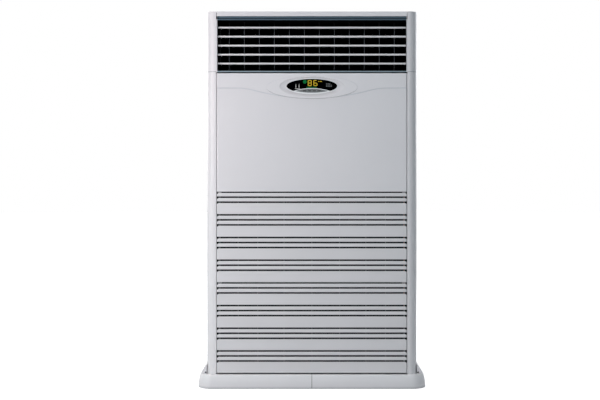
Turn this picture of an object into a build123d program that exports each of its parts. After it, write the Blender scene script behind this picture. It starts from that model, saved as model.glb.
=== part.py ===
from build123d import *
from math import asin, cos, pi, radians, sin
import os

# Floor standing air conditioner. The origin is on the floor under the middle of the
# bounding box, +Z is up and the front looks along -Y. All sizes are in millimetres.

# ---- overall ----
height = 1880.0          # floor to top cover
width = 1050.0           # across the side panels
depth = 495.0            # skirt front to the screw heads on the back
skirt_proud = 20.0       # skirt stands this far in front of the panels
skirt_height = 72.0
flare = 46.0             # base sticks out this far past each side panel
sheet = 1.5              # casing sheet thickness
fit_gap = 0.5            # gap between casing parts that do not touch
side_return = 14.0       # folded front edge of a side panel
panel_foot_z = 20.0      # lower edge of the side and back panels

# ---- fasteners and fits ----
screw_head_r = 4.0
screw_head_h = 2.0
screw_shank_r = 2.0
screw_hole_clear = 0.2
screw_length = 6.0
screw_low_gap = 40.0     # lowest screw above the side flare
screw_top_gap = 90.0     # highest screw below the top cover's flange
screw_count = 5          # along one edge
running_clear = 0.05     # radial clearance of a pin that turns in its hole
loose_clear = 0.6        # radial clearance of a link hole at an opened pivot

# ---- front corner trims ----
pillar_face = 48.0       # width of a trim seen from the front
pillar_corner_r = 42.0
pillar_wall = 2.5
pillar_seam_drop = 6.0   # seam of a trim below the outlet's lower edge
pillar_panel_gap = 3.0   # shadow gap between trim and panels
cap_seam = 2.5           # shadow gap between trim and top cover

# ---- front panel and its embossing ----
seam_gap = 5.0           # gap between panels stacked above each other
grille_seam_z = 75.4     # lowest seam, between skirt and lower grille
grille_pitch = 452.0
sill_high = 14.0         # outlet sill between the panel and the opening
panel_wall = 2.0
panel_return = 20.0
panel_edge_r = 6.0
wave_drop = 126.0        # lowest point of the wave below the panel's top
wave_high = 50.0         # from there up to its flat ends
wave_radius = 1110.0
wave_turn_x = 288.0      # where the middle arc ends and the counter arc begins
wave_proud = 1.8
wave_bevel = 1.5
wave_bevel_wide = 5.0
ring_half_w = 227.0
ring_half_h = 57.0
ring_drop = 70.0         # middle of the ring below the panel's top
ring_proud = 2.2         # above the raised zone
dish_half_w = 159.0
dish_half_h = 46.0
dish_floor = 0.5         # dish floor stands this far in front of the plain face
emboss_round = 1.2

# ---- display ----
display_drop = 64.0      # middle of the display below the panel's top
lens_half_w = 126.5
lens_half_h = 35.5
lens_hump_drop = 11.0    # top of the bezel's hump over the buttons, below the middle
lens_hump_r = 309.0
lens_thick = 2.5
lens_seat = 0.5          # lens back sunk into the dish floor's level
lens_clear = 0.2
rim_width = 4.0
rim_proud = 3.0
crescent_rim = 2.0       # edge left standing around the sunk crescent
bezel_back = 2.0
seat_width = 3.0
bezel_lip = 1.0          # the panel's window is this much outside the lens
bezel_clear = 0.3        # bezel collar in the window
button_w = 17.0
button_h = 6.0
button_pitch = 24.0
button_drop = 23.5       # button row below the display's middle
button_travel = 1.0
button_clear = 0.3
button_count = 4
button_proud = 0.3       # still this much proud when pressed
button_round = 0.6
button_flange = 2.5      # flange wider and higher than the cap by this
button_flange_thick = 1.2
button_flange_gap = 0.4  # flange behind the bezel
switch_r = 2.5
switch_gap = 0.3         # left between a pressed button and its switch
board_y = 8.0            # board face behind the panel face
board_thick = 1.6
board_half_w = 118.0
board_half_h = 36.0
board_post_inset = 6.0
board_post_r = 3.0

# ---- intake grilles and filters ----
grille_wall = 3.0
grille_depth = 18.0
grille_edge_r = 6.0
slot_height = 6.5
slot_step = 25.0
slot_group = 113.0
slots_in_group = 3
slot_groups = 4
slot_depth = 13.0
slot_notch = 4.0         # corner cut below each end of a slot
bar_round = 1.8
strip_crown = 0.8        # height of the crown of the narrow strips
rib_x = [0.0, 139.0, 270.0, 368.0]
rib_end_gap = 17.0       # outermost rib to the panel's end
rib_thick = 3.0
grille_pivot_y = 7.0     # hinge pin behind the face
grille_pivot_z = 10.0    # and above the lower edge
grille_pin_r = 2.5
filter_thick = 7.0
filter_frame = 14.0
filter_net = 1.0
filter_bars = 3
filter_side_gap = 16.0
filter_low_gap = 14.0
filter_top_gap = 8.0
hinge_plate = 5.0
hinge_nose_r = 3.4
hinge_side_gap = 3.5     # hinge plate to the grille's end wall
catch_w = 16.0
catch_end_gap = 15.0     # middle of a catch to the panel's end
catch_tab = 2.0
catch_tab_drop = 0.7     # tab sits this much below the middle of the seam
catch_high = 12.0
catch_back_gap = 3.0     # catch block behind the grille

# ---- air outlet ----
cap_high = 24.0          # front flange of the top cover
outlet_drop = 43.0       # opening below the top
outlet_high = 251.0
outlet_side_gap = 5.5    # inside of the outlet to the trim
outlet_wall = 2.5
outlet_depth = 130.0
outlet_set_back = 1.0
outlet_lip = 6.0         # front lip below the opening
outlet_lip_top = 2.0     # and above it
recess_set_back = 12.0
recess_high = 9.5        # recessed strip seen below the top cover's flange
recess_lap = 3.0         # and behind it
groove_deep = 14.0       # dark groove between the strip and the lip
louvre_count = 5
louvre_pitch = 45.1
louvre_chord = 44.0
louvre_nose_r = 4.5      # blunt front edge
louvre_end_gap = 2.0
louvre_pivot_y = 35.0    # behind the panel face
louvre_crank = 34.0
louvre_crank_gap = 16.0  # crank lug to the side of the outlet
louvre_tip_r = 1.5       # thin back edge
vane_count = 12
vane_side_gap = 55.0     # outermost vane to the side of the outlet
vane_pivot_y = 95.0      # behind the panel face
vane_chord = 50.0
vane_thick = 2.5
vane_crank = 19.0
vane_round = 1.1
vane_pin_root = 8.0
vane_crank_high = 6.0
vane_crank_low = 1.0     # crank boss below the blade, and its pin below the link
vane_low_gap = 12.0
vane_top_gap = 6.0
pivot_pin_r = 3.0
crank_pin_r = 2.0
link_thick = 4.0
link_width = 12.0
lug_thick = 4.0
lug_half_h = 3.0
lug_end_r = 5.0
pin_root = 5.0           # pins run this far into their blade
pin_tail = 1.5           # crank pin past its link
link_gap = 1.0
motor_hub_r = 14.0
motor_hub_h = 22.0
motor_engage = 10.0
motor_floor = 2.0        # left under the drive bore
motor_ear = 8.0          # mounting ears past the hub
motor_ear_half = 6.0
motor_ear_thick = 2.0

# ---- base ----
base_wall = 2.0
base_deck_z = 68.0
base_flange_low = 16.0
skirt_wall = 2.5
skirt_corner_r = 75.0
skirt_straight = 2.0     # straight run between the rounded corner and the side cover
skirt_lift = 2.0
skirt_toe_r = 4.0
skirt_rim_r = 2.5
skirt_lean = 10.5        # skirt is this much slimmer at its ledge, along an arc
skirt_seam = 2.0         # gap between its two halves
skirt_ledge = 38.0       # how far the ledge runs back from the panel face
skirt_lip = 18.0         # bottom flange of the skirt
cheek_set_back = 22.0    # front of the side flare behind the panel face
cheek_screw_out = 6.0    # screw in its front, past the side panel
cheek_screw_up = 6.5     # and above the ledge
flare_top_z = 118.0
flare_shoulder = 28.0    # width of the flare at the skirt's height
flare_crown = 3.0
foot_side_gap = 33.0     # foot to the side of the base deck
foot_front_gap = 40.0
foot_back_gap = 43.0
foot_pad_r = 28.0
foot_pad_h = 8.0
foot_stud_r = 5.0
foot_nut_r = 9.0
foot_nut_h = 8.0
anchor_spacing_x = 760.0
anchor_spacing_y = 290.0
anchor_hole_r = 6.0

# ---- frame ----
post_leg = 26.0
post_wall = 2.0
rail_high = 33.0
rail_deep = 15.0
rail_low_cut = 6.0       # the lowest rail is this much less high
rail_above = 2.0         # rails reach this far above the middle of a seam's cover
beam_gap = 4.0           # top front beam above the top cover's flange line
riser_clear = 2.0        # around a pipe in the deck
deck_rise = 5.6          # blower deck above the upper grille seam
frame_top_gap = 7.5      # under the top cover

# ---- blower ----
wheel_gap = 20.0         # wheel to the scroll at its cut-off
blade_deep = 25.0
wheel_width = 210.0
wheel_x = 250.0
wheel_blades = 36
wheel_sheet = 3.0
blade_thick = 1.5
blade_tilt = 25.0
wheel_hub_r = 24.0
wheel_hub_len = 60.0
shaft_r = 10.0
shaft_half = 345.0
blower_drop = 285.0      # shaft below the deck
scroll_front_gap = 9.5   # to the cross rails
scroll_back_gap = 6.5    # to the rear rail
scroll_growth = 15.0     # more radius each quarter turn
scroll_width = 240.0
scroll_wall = 2.0
inlet_step = 52.0        # inlet radius is this much under the scroll's
scroll_mouth = 160.0     # depth of the outlet
motor_r = 85.0
motor_len = 200.0
motor_round = 8.0
motor_arm_root = 10.0    # arm runs this far into the motor
motor_arm_w = 60.0
motor_arm_h = 20.0

# ---- cooling ----
coil_side_gap = 83.0     # coil to the frame's side, room for the pipes
coil_thick = 50.0
coil_length = 480.0
coil_tilt = 35.0         # leans back from the vertical
coil_dip = 3.0           # lower edge of the coil below the pan's rim
coil_end = 6.0
coil_rim = 16.0          # end plates are this much deeper than the coil
bend_count = 9
bend_pitch = 50.0
bend_r = 5.0
bend_half = 12.0         # half the span of a return bend
pan_front_gap = 4.5
pan_deep = 100.0
pan_end_gap = 15.0       # drain to the pan's end
pan_high = 45.0
pan_wall = 2.0
drain_r = 12.0
drain_wall = 1.5
drain_side_gap = 30.0    # drain to the side of the service recess
drain_z = 170.0
gas_r = 14.3
gas_z = 350.0
gas_side_gap = 40.0
liquid_r = 6.35
liquid_z = 300.0
liquid_side_gap = 100.0
pipe_wall = 1.2
gas_riser_step = 40.0    # risers stand this far outside the coil
liquid_riser_step = 32.0
gas_riser_back = 68.5    # and this far in front of the back panel
liquid_riser_back = 123.5
gas_level = 90.0         # height above the deck where a pipe crosses to its riser
liquid_level = 60.0
gas_bend = 24.0
liquid_bend = 14.0
drain_bend = 25.0
stub_inset = 4.0         # pipe ends stay this far inside the back
bead_gap = 2.0           # stop bead behind each pipe end, outside the service plate
bead_long = 3.0
bead_proud = 1.5
bead_root = 0.2          # bead sinks this far into the pipe wall
pipe_hole_clear = 0.8

# ---- service recess and electrics ----
service_side_gap = 53.0
service_w = 210.0
service_z0 = 120.0
service_z1 = 420.0
service_depth = 40.0
service_flange = 10.0
gland_side_gap = 50.0
gland_z = 200.0
gland_thread_r = 10.0
gland_bore_r = 6.5
gland_hole_clear = 0.3
gland_cap_long = 18.0
gland_cap_wide = 4.0     # cap radius over the thread's
gland_nut_wide = 6.0
gland_nut_high = 5.0
gland_thread_out = 10.0  # thread on either side of the plate
box_side_gap = 43.0
box_w = 180.0
box_deep = 170.0
box_back_gap = 13.5
box_z1 = 380.0
terminal_deep = 30.0     # terminal block, low across the box
terminal_inset = 20.0
terminal_z = 60.0        # above the box floor
terminal_high = 50.0
relay_deep = 50.0        # relay block above it
relay_inset = 30.0
relay_w = 60.0
relay_z = 160.0
relay_high = 90.0

# ---- places that follow from the sizes above ----
skirt_y = -depth / 2
face_y = skirt_y + skirt_proud              # plain face of the panels
back_y = depth / 2 - screw_head_h           # outer face of the back panel
half_w = width / 2
side_in = half_w - sheet                    # inner face of a side panel
core_x = side_in - fit_gap                  # what stands inside the side panels
core_y = back_y - sheet - fit_gap           # what stands inside the back panel
pillar_in = half_w - pillar_face
panel_half_w = pillar_in - pillar_panel_gap
pillar_back_y = face_y + pillar_corner_r + fit_gap
side_front_y = pillar_back_y + fit_gap
skirt_joint_y = skirt_y + skirt_corner_r + skirt_straight
cheek_y = face_y + cheek_set_back
post_y = side_front_y + sheet + fit_gap     # front faces of the front posts
rail_y = face_y + skirt_ledge               # front faces of the cross rails
frame_top_z = height - sheet - frame_top_gap
cap_flange_z = height - cap_high
outlet_high_z = height - outlet_drop
outlet_low_z = outlet_high_z - outlet_high
outlet_half_w = pillar_in - outlet_side_gap
pillar_seam_z = outlet_low_z - pillar_seam_drop
panel_top_z = outlet_low_z - sill_high
seam_middle_z = grille_seam_z + grille_pitch
seam_upper_z = seam_middle_z + grille_pitch
panel_low_z = seam_upper_z + seam_gap / 2
wave_low_z = panel_top_z - wave_drop
wave_high_z = wave_low_z + wave_high
ring_z = panel_top_z - ring_drop
display_z = panel_top_z - display_drop
bezel_half_w = lens_half_w + rim_width
bezel_half_h = lens_half_h + rim_width
button_z = display_z - button_drop
catch_x = panel_half_w - catch_end_gap
louvre_crank_x = outlet_half_w - louvre_crank_gap
link_x = louvre_crank_x + lug_thick / 2 + link_gap + link_thick / 2
vane_pitch = 2 * (outlet_half_w - vane_side_gap) / (vane_count - 1)
deck_z = seam_upper_z + deck_rise
blower_z = deck_z - blower_drop
scroll_front_y = rail_y + rail_deep + scroll_front_gap
scroll_back_y = core_y - post_wall - scroll_back_gap
scroll_r = (scroll_back_y - scroll_front_y) / 2 - 2 * scroll_growth   # at the cut-off
blower_y = scroll_front_y + scroll_r + scroll_growth
scroll_inlet_r = scroll_r - inlet_step
wheel_r = scroll_r - wheel_gap
wheel_inner_r = wheel_r - blade_deep
pan_floor_z = deck_z + post_wall
pan_y_front = rail_y + pan_front_gap
pan_y_back = pan_y_front + pan_deep
coil_half_w = core_x - coil_side_gap
coil_lean = radians(coil_tilt)
coil_low = coil_length / 2 * cos(coil_lean) + coil_thick / 2 * sin(coil_lean)
coil_y = (pan_y_front + pan_y_back) / 2 + coil_length / 2 * sin(coil_lean)
coil_z = pan_floor_z + pan_high - coil_dip + coil_low
service_x1 = core_x - service_side_gap
service_x0 = service_x1 - service_w
gas_x = service_x1 - gas_side_gap
liquid_x = service_x1 - liquid_side_gap
drain_x = service_x1 - drain_side_gap
drain_y = (pan_y_front + pan_y_back) / 2
gland_x = service_x0 + gland_side_gap
pan_half_w = drain_x + pan_end_gap
screw_low_z = flare_top_z + screw_low_gap
screw_step = (cap_flange_z - screw_top_gap - screw_low_z) / (screw_count - 1)
screw_z = [screw_low_z + screw_step * k for k in range(screw_count)]
side_screw_y = [side_front_y + side_return, core_y - post_leg / 2]
back_screw_x = core_x - post_leg / 2


def slab(x0, x1, y0, y1, z0, z1):
    middle = Pos((x0 + x1) / 2, (y0 + y1) / 2, (z0 + z1) / 2)
    return middle * Box(abs(x1 - x0), abs(y1 - y0), abs(z1 - z0))


def rod_x(x0, x1, y, z, r):
    return Pos((x0 + x1) / 2, y, z) * Rot(0, 90, 0) * Cylinder(r, abs(x1 - x0))


def rod_y(x, y0, y1, z, r):
    return Pos(x, (y0 + y1) / 2, z) * Rot(90, 0, 0) * Cylinder(r, abs(y1 - y0))


def rod_z(x, y, z0, z1, r):
    return Pos(x, y, (z0 + z1) / 2) * Cylinder(r, abs(z1 - z0))


def toward_front(sketch, y_back, y_front):
    """Extrudes a front-view sketch (X, Z) from y_back forward to y_front."""
    return extrude(Plane.XZ.offset(-y_back) * sketch, amount=y_back - y_front)


def along_x(sketch, x0, x1):
    """Extrudes a side-view sketch (Y, Z) from x0 to x1."""
    return extrude(Plane.YZ.offset(x0) * sketch, amount=x1 - x0)


def along_z(sketch, z0, z1):
    return extrude(Plane.XY.offset(z0) * sketch, amount=z1 - z0)


def outline(*lines):
    return make_face(Wire(list(lines)))


def mirrored(solid):
    return mirror(solid, about=Plane.YZ)


# ---- casing ----

def side_screws():
    return [(half_w, y, z) for y in side_screw_y for z in screw_z]


def back_screws():
    return [(x, back_y, z) for x in (-back_screw_x, back_screw_x) for z in screw_z]


def side_screw_tools(r):
    tools = []
    for x, y, z in side_screws():
        tools.append(rod_x(x - screw_length - 1, x + 1, y, z, r))
        tools.append(rod_x(-x - 1, -x + screw_length + 1, y, z, r))
    return tools


def back_screw_tools(r):
    return [rod_y(x, y - screw_length - 1, y + 1, z, r) for x, y, z in back_screws()]


def cheek_screws():
    x = half_w + cheek_screw_out
    return [(side * x, cheek_y, skirt_height + cheek_screw_up) for side in (-1, 1)]


def casing_screws():
    screws = []
    for x, y, z in side_screws():
        screws.append(rod_x(x, x + screw_head_h, y, z, screw_head_r)
                      + rod_x(x - screw_length, x, y, z, screw_shank_r))
        screws.append(rod_x(-x - screw_head_h, -x, y, z, screw_head_r)
                      + rod_x(-x, -x + screw_length, y, z, screw_shank_r))
    for x, y, z in back_screws():
        screws.append(rod_y(x, y, y + screw_head_h, z, screw_head_r)
                      + rod_y(x, y - screw_length, y, z, screw_shank_r))
    for x, y, z in cheek_screws():
        screws.append(rod_y(x, y - screw_head_h, y, z, screw_head_r)
                      + rod_y(x, y, y + screw_length, z, screw_shank_r))
    return Compound(children=[screw.solid() for screw in screws])


def side_panel():
    plate = slab(side_in, half_w, side_front_y, back_y, panel_foot_z, cap_flange_z - fit_gap)
    front_return = slab(half_w - side_return, half_w, side_front_y, side_front_y + sheet,
                        base_deck_z + fit_gap, cap_flange_z - fit_gap)
    panel = plate + front_return
    return panel - side_screw_tools(screw_shank_r + screw_hole_clear)


def back_panel():
    plate = slab(-core_x, core_x, back_y - sheet, back_y, panel_foot_z, cap_flange_z - fit_gap)
    plate -= slab(service_x0, service_x1, back_y - 5, back_y + 5, service_z0, service_z1)
    return plate - back_screw_tools(screw_shank_r + screw_hole_clear)


def top_plan(inset):
    x = half_w - inset
    x_front = pillar_in - cap_seam - inset
    y_step = side_front_y + inset
    y_front = face_y + inset
    y_back = back_y - inset
    right = [(x, y_back), (x, y_step), (x_front, y_step), (x_front, y_front)]
    left = [(-px, py) for px, py in reversed(right)]
    return make_face(Polyline(*right, *left, close=True))


def top_cover():
    cover = along_z(top_plan(0), cap_flange_z, height)
    cover = fillet(cover.faces().sort_by(Axis.Z)[-1].edges(), sheet)
    return cover - along_z(top_plan(sheet), cap_flange_z - 1, height - sheet)


def pillar_section(inset):
    """Plan of the right front trim: rounded outer corner, flat inner edge."""
    x_in = pillar_in + inset
    x_out = half_w - inset
    y_front = face_y + inset
    centre = (half_w - pillar_corner_r, face_y + pillar_corner_r)
    y_back = pillar_back_y if inset == 0 else pillar_back_y + 1
    reach = (x_out - centre[0]) * cos(pi / 4)
    arc_mid = (centre[0] + reach, centre[1] - reach)
    return outline(Line((x_in, y_back), (x_in, y_front)), Line((x_in, y_front), (centre[0], y_front)),
                   ThreePointArc((centre[0], y_front), arc_mid, (x_out, centre[1])),
                   Line((x_out, centre[1]), (x_out, y_back)), Line((x_out, y_back), (x_in, y_back)))


def pillar(z0, z1, capped):
    shell_top = z1 - pillar_wall if capped else z1 + 1
    return along_z(pillar_section(0), z0, z1) - along_z(pillar_section(pillar_wall), z0 - 1, shell_top)


# ---- base ----

def foot_places():
    x = core_x - foot_side_gap
    return [(side * x, y) for side in (-1, 1) for y in (rail_y + foot_front_gap, core_y - foot_back_gap)]


def anchor_places():
    x = anchor_spacing_x / 2
    middle_y = (rail_y + core_y) / 2
    return [(i * x, middle_y + j * anchor_spacing_y / 2) for i in (-1, 1) for j in (-1, 1)]


def base_pan():
    z_low = base_flange_low
    y_front = rail_y
    pan = slab(-core_x, core_x, y_front, core_y, z_low, base_deck_z)
    pan -= slab(-core_x + base_wall, core_x - base_wall, y_front + base_wall, core_y - base_wall,
                z_low - 1, base_deck_z - base_wall)
    for x, y in foot_places():
        pan -= rod_z(x, y, 0, base_deck_z + 1, foot_stud_r + fit_gap)
    for x, y in anchor_places():
        pan -= rod_z(x, y, 0, base_deck_z + 1, anchor_hole_r)
    return pan


def levelling_feet():
    feet = []
    nut_top = base_deck_z - base_wall
    nut = extrude(RegularPolygon(foot_nut_r, 6), foot_nut_h)
    for x, y in foot_places():
        pad = rod_z(x, y, 0, foot_pad_h, foot_pad_r)
        pad = chamfer(pad.faces().sort_by(Axis.Z)[-1].edges(), foot_pad_h / 3)
        stud = rod_z(x, y, foot_pad_h - 1, base_deck_z + foot_nut_h, foot_stud_r)
        feet.append((pad + stud + Pos(x, y, nut_top - foot_nut_h) * nut).solid())
    return Compound(children=feet)


def skirt_outline(grow, reach, place):
    """Upright section of the skirt, drawn from its outermost plane to a depth of reach inwards."""
    z_low = skirt_lift + grow
    z_high = skirt_height - grow
    toe = skirt_toe_r - grow
    rim = skirt_rim_r if grow == 0 else 0.0
    z_toe = z_low + toe
    z_rim = z_high - rim
    u_top = grow + skirt_lean
    soft = 1 - sin(pi / 4)
    low = place(reach, z_low)
    foot = place(grow + toe, z_low)
    side_low = place(grow, z_toe)
    side_top = place(u_top, z_rim)
    ledge = place(u_top + rim, z_high)
    high = place(reach, z_high)
    lines = [Line(low, foot), ThreePointArc(foot, place(grow + toe * soft, z_low + toe * soft), side_low),
             ThreePointArc(side_low, place(grow + skirt_lean / 4, (z_toe + z_rim) / 2), side_top)]
    if rim:
        lines.append(ThreePointArc(side_top, place(u_top + rim * soft, z_high - rim * soft), ledge))
    return outline(*lines, Line(ledge, high), Line(high, low))


def skirt_block(grow, x0, y_back):
    """Right front part of the skirt: straight front, rounded corner and a short straight side."""
    r = skirt_corner_r
    x_mid = half_w + flare - r
    y_mid = skirt_y + r
    front = along_x(skirt_outline(grow, y_back - skirt_y, lambda u, z: (skirt_y + u, z)), x0, x_mid)
    side = toward_front(skirt_outline(grow, r, lambda u, z: (x_mid + r - u, z)), y_back, y_mid)
    section = Plane.XZ * skirt_outline(grow, r, lambda u, z: (r - u, z))
    corner = revolve(section, Axis((0, 0, 0), (0, 0, -1)), 90)
    return front + side + Pos(x_mid, y_mid, 0) * corner


def skirt_front():
    body = skirt_block(0, skirt_seam / 2, skirt_joint_y) - skirt_block(skirt_wall, -1, skirt_joint_y + 1)
    body -= slab(-1, pillar_in - fit_gap, rail_y, 0, 0, skirt_height + 1)
    body -= slab(-1, half_w + fit_gap, pillar_back_y, 0, 0, skirt_height + 1)
    x_lip = half_w + flare - skirt_lip
    opening = slab(-1, x_lip, skirt_y + skirt_lip, skirt_joint_y + 1, 0, skirt_height / 2)
    upright = opening.edges().filter_by(Axis.Z).sort_by(Axis.Y)[:2].sort_by(Axis.X)[-1]
    return body - fillet(upright, skirt_corner_r - skirt_lip)


def flare_outline(grow):
    """Part of the side flare above the ledge, seen from the front."""
    x0 = half_w + fit_gap / 2 if grow == 0 else half_w - 1
    x1 = half_w + flare_shoulder - grow
    z0 = skirt_height - grow
    z1 = flare_top_z - grow
    crown = flare_crown * cos(pi / 4)
    return outline(Line((x0, z0), (x1, z0)),
                   ThreePointArc((x1, z0), ((x0 + x1) / 2 + crown, (z0 + z1) / 2 + crown), (x0, z1)),
                   Line((x0, z1), (x0, z0)))


def cheek_block(grow, y0, y1, y_front):
    x_out = half_w + flare
    reach = flare - fit_gap / 2 if grow == 0 else flare + 1
    low = toward_front(skirt_outline(grow, reach, lambda u, z: (x_out - u, z)), y1, y0)
    return low + toward_front(flare_outline(grow), y1, y_front)


def skirt_side():
    y0 = skirt_joint_y + fit_gap
    w = skirt_wall
    body = cheek_block(0, y0, back_y, cheek_y) - cheek_block(w, y0 + w, back_y - w, cheek_y + w)
    body -= slab(half_w - 1, half_w + flare, cheek_y - 1, y0, 0, skirt_height + fit_gap)
    for x, y, z in cheek_screws():
        body -= rod_y(x, y - 1, y + screw_length + 1, z, screw_shank_r + screw_hole_clear)
    return body


# ---- frame ----

def post(front):
    if front:
        y0 = post_y
        flat = slab(core_x - post_leg, core_x, y0, y0 + post_wall, base_deck_z, frame_top_z)
    else:
        y0 = core_y - post_leg
        flat = slab(core_x - post_leg, core_x, core_y - post_wall, core_y, base_deck_z, frame_top_z)
    side = slab(core_x - post_wall, core_x, y0, y0 + post_leg, base_deck_z, frame_top_z)
    return flat + side


def front_rail(z0, z1):
    """Angle rail between the trims, tied at both ends to the front posts."""
    x = pillar_in - fit_gap
    upright = slab(-x, x, rail_y, rail_y + post_wall, z0, z1)
    shelf = slab(-x, x, rail_y, rail_y + rail_deep, z0, z0 + post_wall)
    return upright + shelf + slab(-core_x, core_x, post_y, rail_y + rail_deep, z0, z0 + post_wall)


def hinge_bracket(edge_z):
    """Plate with the pin that the right end of a grille turns on."""
    y = face_y + grille_pivot_y
    z = edge_z + grille_pivot_z
    x1 = panel_half_w - grille_wall - hinge_side_gap
    x0 = x1 - hinge_plate
    nose = hinge_nose_r
    plate = slab(x0, x1, y, rail_y, z - nose, z + nose) + rod_x(x0, x1, y, z, nose)
    return plate + rod_x(x0, panel_half_w + fit_gap, y, z, grille_pin_r)


def deck():
    plate = slab(-core_x, core_x, post_y, core_y, deck_z, deck_z + post_wall)
    for side in (-1, 1):
        x = side * wheel_x
        half = scroll_width / 2 - scroll_wall
        y0 = scroll_back_y - scroll_mouth + scroll_wall
        y1 = scroll_back_y - scroll_wall
        plate -= slab(x - half, x + half, y0, y1, deck_z - 1, deck_z + post_wall + 1)
    for x, y, r in risers():
        plate -= rod_z(x, y, deck_z - 1, deck_z + post_wall + 1, r + riser_clear)
    return plate


def risers():
    """Pipes that pass through the deck, as x, y and radius."""
    gas = (coil_half_w + gas_riser_step, core_y - gas_riser_back, gas_r)
    liquid = (coil_half_w + liquid_riser_step, core_y - liquid_riser_back, liquid_r)
    return [gas, liquid, (drain_x, drain_y, drain_r)]


def frame():
    body = deck()
    for side in (0, 1):
        for front in (True, False):
            leg = post(front)
            body += mirrored(leg) if side else leg
    body += front_rail(base_deck_z, base_deck_z + rail_high - rail_low_cut)
    body += front_rail(seam_middle_z - rail_high / 2, seam_middle_z + rail_high / 2 + rail_above)
    body += front_rail(seam_upper_z - rail_high / 2, seam_upper_z + rail_high / 2 + rail_above)
    body += front_rail(panel_top_z - rail_high, panel_top_z + rail_above)
    body += slab(-core_x, core_x, core_y - post_wall, core_y, frame_top_z - rail_high, frame_top_z)
    body += slab(-core_x, core_x, core_y - post_wall, core_y, blower_z - rail_high, blower_z + rail_high)
    body += slab(-core_x, core_x, post_y, post_y + post_wall, cap_flange_z + beam_gap, frame_top_z)
    for edge in (grille_seam_z, seam_middle_z):
        bracket = hinge_bracket(edge + seam_gap / 2)
        body += bracket
        body += mirrored(bracket)
    hole_r = screw_shank_r + screw_hole_clear
    return body - (side_screw_tools(hole_r) + back_screw_tools(hole_r))


# ---- front panel and display ----

def wave_zone(reach):
    """Front-view region above the wave line, out to x = reach on both sides."""
    turn = asin(wave_turn_x / wave_radius)
    rise = wave_radius * (1 - cos(turn))
    small_r = (wave_high_z - wave_low_z - rise) / (1 - cos(turn))
    end_x = wave_turn_x + small_r * sin(turn)
    centre_z = wave_low_z + wave_radius
    turn_z = wave_low_z + rise
    half = turn / 2
    side_mid = (end_x - small_r * sin(half), wave_high_z - small_r * (1 - cos(half)))
    top = panel_top_z + 1
    return outline(Line((-reach, wave_high_z), (-end_x, wave_high_z)),
                   ThreePointArc((-end_x, wave_high_z), (-side_mid[0], side_mid[1]), (-wave_turn_x, turn_z)),
                   ThreePointArc((-wave_turn_x, turn_z), (0, centre_z - wave_radius), (wave_turn_x, turn_z)),
                   ThreePointArc((wave_turn_x, turn_z), side_mid, (end_x, wave_high_z)),
                   Line((end_x, wave_high_z), (reach, wave_high_z)),
                   Line((reach, wave_high_z), (reach, top)), Line((reach, top), (-reach, top)),
                   Line((-reach, top), (-reach, wave_high_z)))


def rounded_front(y_front, depth_back, z0, z1, edge_r, rim_r):
    """Block with rounded upright front edges and softened upper and lower front edges."""
    block = slab(-panel_half_w, panel_half_w, y_front, y_front + depth_back, z0, z1)
    uprights = [e for e in block.edges().filter_by(Axis.Z) if e.center().Y < y_front + 1]
    block = fillet(uprights, edge_r)
    if rim_r:
        rim = [e for e in block.edges() if e.center().Y < y_front + edge_r and abs(e.tangent_at(0.5).Z) < 0.1]
        block = fillet(rim, rim_r)
    return block


def raised_zone():
    prism = toward_front(wave_zone(panel_half_w + 1), face_y + panel_edge_r, face_y - wave_proud)
    front = prism.faces().sort_by(Axis.Y)[0]
    low_edges = [e for e in front.edges() if e.center().Z < wave_high_z + 1]
    prism = chamfer(low_edges, wave_bevel_wide, wave_bevel, reference=front)
    y = face_y - wave_proud
    return prism & rounded_front(y, panel_return, panel_low_z, panel_top_z, panel_edge_r, bar_round)


def front_panel():
    z0 = panel_low_z
    z1 = panel_top_z
    y0 = face_y
    ring_y = y0 - wave_proud - ring_proud
    body = rounded_front(y0, panel_return, z0, z1, panel_edge_r, bar_round) + raised_zone()
    ring = toward_front(Pos(0, ring_z) * Ellipse(ring_half_w, ring_half_h), y0 + panel_wall, ring_y)
    ring = fillet(ring.faces().sort_by(Axis.Y)[0].edges(), emboss_round)
    body += ring
    centre = Pos(0, display_z)
    body -= toward_front(centre * Ellipse(dish_half_w, dish_half_h), y0 - dish_floor, ring_y - 1)
    x1 = panel_half_w - panel_wall
    y1 = y0 + panel_wall
    body -= slab(-x1, x1, y1, y0 + panel_return + 1, z0 + panel_wall, z1 - panel_wall)
    window = centre * Ellipse(lens_half_w + bezel_lip, lens_half_h + bezel_lip)
    body -= toward_front(window, y1 + 1, ring_y - 1)
    return body


def hump(grow):
    return Pos(0, -lens_hump_drop - lens_hump_r) * Circle(lens_hump_r + grow)


def lens_outline(inset):
    """Oval whose lower part gives way to a hump over the buttons."""
    return Pos(0, display_z) * (Ellipse(lens_half_w - inset, lens_half_h - inset) - hump(inset))


def crescent_outline(inset):
    """The rest of the oval, below the lens."""
    return Pos(0, display_z) * (Ellipse(lens_half_w - inset, lens_half_h - inset) & hump(-inset))


def display_lens():
    y_front = face_y - dish_floor - lens_thick + lens_seat
    return toward_front(lens_outline(lens_clear), y_front + lens_thick, y_front)


def button_x(index):
    return (index - (button_count - 1) / 2) * button_pitch


def button_pill(grow, flange=0.0):
    w = button_w + 2 * grow + flange
    h = button_h + 2 * grow + flange
    return SlotOverall(w, h)


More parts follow.
